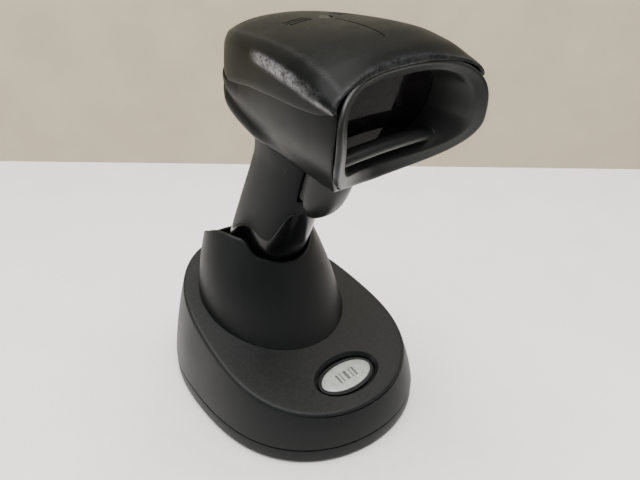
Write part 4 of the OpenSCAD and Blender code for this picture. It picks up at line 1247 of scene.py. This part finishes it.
# ------------------------------------------------------------------ assembly
# new object, body it rides on, CAD node it replaces, material slot
PIECES = [
    (top_cover(), "handset", "top_cover", "head_plastic"),
    (head_housing(), "handset", "head_housing", "head_plastic"),
    (nose_bezel(), "handset", "nose_bezel", "bezel_plastic"),
    (handle_shell(), "handset", "handle_shell", "grip_plastic"),
    (battery_cap(), "handset", "battery_cap", "cap_plastic"),
    (trigger(), "trigger_lever", "trigger", "trigger_plastic"),
    (base_cover(), "cradle", "base_cover", "cradle_plastic"),
    (base_plate(), "cradle", "base_plate", "cradle_plastic"),
    (cradle_neck(), "cradle", "cradle_neck", "cradle_plastic"),
    (cup_liner(), "cradle", "cup_liner", "liner_plastic"),
    (call_button(), "call_button", "page_button", "cradle_plastic"),
    (button_badge(), "call_button", "page_badge", "badge_print"),
    (badge_bars(), "call_button", "page_badge", "badge_print"),
]
for ob, body, node, slot in PIECES:
    dress(ob, MATS[slot])
    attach(ob, body)
    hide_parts(node)
# the bars share the badge's slot but are darker
dress(PIECES[-1][0], bar_grey("badge_mark"))

replaced = {piece[2] for piece in PIECES}
cad_slots = {part["node"]: part.get("material_slot") for part in frame["record"].get("subparts", [])}
for node, ob in frame["nodes"].items():
    if node in replaced:
        continue
    dress(ob, MATS[cad_slots.get(node) or "black_part"])
    for face in ob.data.polygons:
        face.use_smooth = True
    ob.data.set_sharp_from_angle(angle=math.radians(30))


# ------------------------------------------------------------------ stage, in metres
CAMERA_AT = Vector((-0.155015, -0.204523, 0.226634))
FORWARD = Vector((0.5553012, 0.6616503, -0.5038446))
UP = Vector((0.3140937, 0.3941145, 0.8637239))
RIGHT = Vector((0.7700557, -0.6378813, 0.0110321))
WALL_AWAY, WALL_HIGH, REACH = 0.258, 0.8, 3     # backdrop distance, height; half width
away = Vector((FORWARD.x, FORWARD.y, 0)).normalized()
across = Vector((away.y, -away.x, 0))


def stage_mat(name, a, b, rough, speckle):
    """Matt surface between two colours with darker specks."""
    M = Mat(name)
    n = M.noise(scale=0.02, detail=4, rough=0.6)
    fine = M.noise(scale=0.35, detail=5, rough=0.75)
    col = M.mix(M.remap(n, span=(0.3, 0.7)), a, b)
    col = M.mix(M.mul(M.remap(fine, span=(0.45, 0.7)), speckle), col, shade(a, 0.75))
    M.set(Base_Color=col, Roughness=rough, Normal=M.bump(fine, strength=0.05, depth=0.3),
          Specular_IOR_Level=0.25)
    return M


def see_through_back(M):
    """Makes the back of the faces transparent."""
    geometry = M.new("NewGeometry")
    mix = M.new("MixShader")
    nothing = M.new("BsdfTransparent")
    M.link(geometry.outputs["Backfacing"], mix.inputs[0])
    M.link(M.shader.outputs[0], mix.inputs[1])
    M.link(nothing.outputs[0], mix.inputs[2])
    M.link(mix.outputs[0], M.out.inputs[0])


def sheet(name, corners, M):
    """One quad from (across, behind the wall's foot, height) corners."""
    points = []
    for side, behind, z in corners:
        p = away * WALL_AWAY + across * side + away * behind
        points.append((p.x, p.y, z))
    mesh = bpy.data.meshes.new(name)
    mesh.from_pydata(points, [], [(0, 1, 2, 3)])
    ob = bpy.data.objects.new(name, mesh)
    bpy.context.scene.collection.objects.link(ob)
    mesh.materials.append(M.material)
    ob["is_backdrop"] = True


pale = stage_mat("floor_pale", a=(0.88, 0.868, 0.85, 1), b=(0.93, 0.92, 0.905, 1), rough=0.6,
                 speckle=0.16)
beige = stage_mat("wall_beige", a=(0.50, 0.435, 0.33, 1), b=(0.56, 0.49, 0.375, 1), rough=0.8,
                  speckle=0.05)
see_through_back(beige)
sheet("floor", [(-REACH, -REACH, 0), (REACH, -REACH, 0), (REACH, 0, 0), (-REACH, 0, 0)], pale)
sheet("backdrop", [(-REACH, 0, 0), (REACH, 0, 0), (REACH, 0, WALL_HIGH), (-REACH, 0, WALL_HIGH)],
      beige)


def area(name, at, aim, size, power, color):
    light = bpy.data.lights.new(name, "AREA")
    light.shape = "RECTANGLE"
    light.size, light.size_y = size
    light.energy = power
    light.color = color
    ob = bpy.data.objects.new(name, light)
    ob.location = at
    ob.rotation_euler = (Vector(aim) - Vector(at)).to_track_quat("-Z", "Y").to_euler()
    bpy.context.scene.collection.objects.link(ob)


area("key", at=(-0.85, 0.22, 0.62), aim=(0, 0, 0.08), size=(0.7, 0.5), power=3.0,
     color=(1.0, 0.99, 0.97))
area("top", at=(0.05, 0.0, 1.3), aim=(0, 0, 0.05), size=(1.1, 1.1), power=43,
     color=(1.0, 0.995, 0.985))
area("fill", at=(0.5, -1.1, 0.7), aim=(0, 0, 0.08), size=(1.0, 0.8), power=1.5,
     color=(0.97, 0.98, 1.0))

world = bpy.data.worlds.new("studio")
bpy.context.scene.world = world
world.use_nodes = True
nodes = world.node_tree.nodes
nodes.clear()
sky = nodes.new("ShaderNodeBackground")
world_out = nodes.new("ShaderNodeOutputWorld")
sky.inputs["Color"].default_value = (0.95, 0.93, 0.89, 1)
sky.inputs["Strength"].default_value = 0.30
world.node_tree.links.new(sky.outputs[0], world_out.inputs[0])

lens = bpy.data.cameras.new("camera")
lens.lens, lens.sensor_width = 37.065, 36.0
lens.clip_start = 0.01
camera = bpy.data.objects.new("camera", lens)
rows = [(*row, 0) for row in (RIGHT, UP, -FORWARD)] + [(*CAMERA_AT, 1)]
camera.matrix_world = Matrix(rows).transposed()
bpy.context.scene.collection.objects.link(camera)
bpy.context.scene.camera = camera

end_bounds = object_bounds()


def plain(value):
    """Bounds as plain dicts, lists and floats."""
    if isinstance(value, dict):
        return {k: plain(x) for k, x in value.items()}
    # a number can't be looped over, and ends the descent
    try:
        return [plain(x) for x in value]
    except TypeError:
        return float(value)


{"start": plain(start_bounds), "end": plain(end_bounds)}
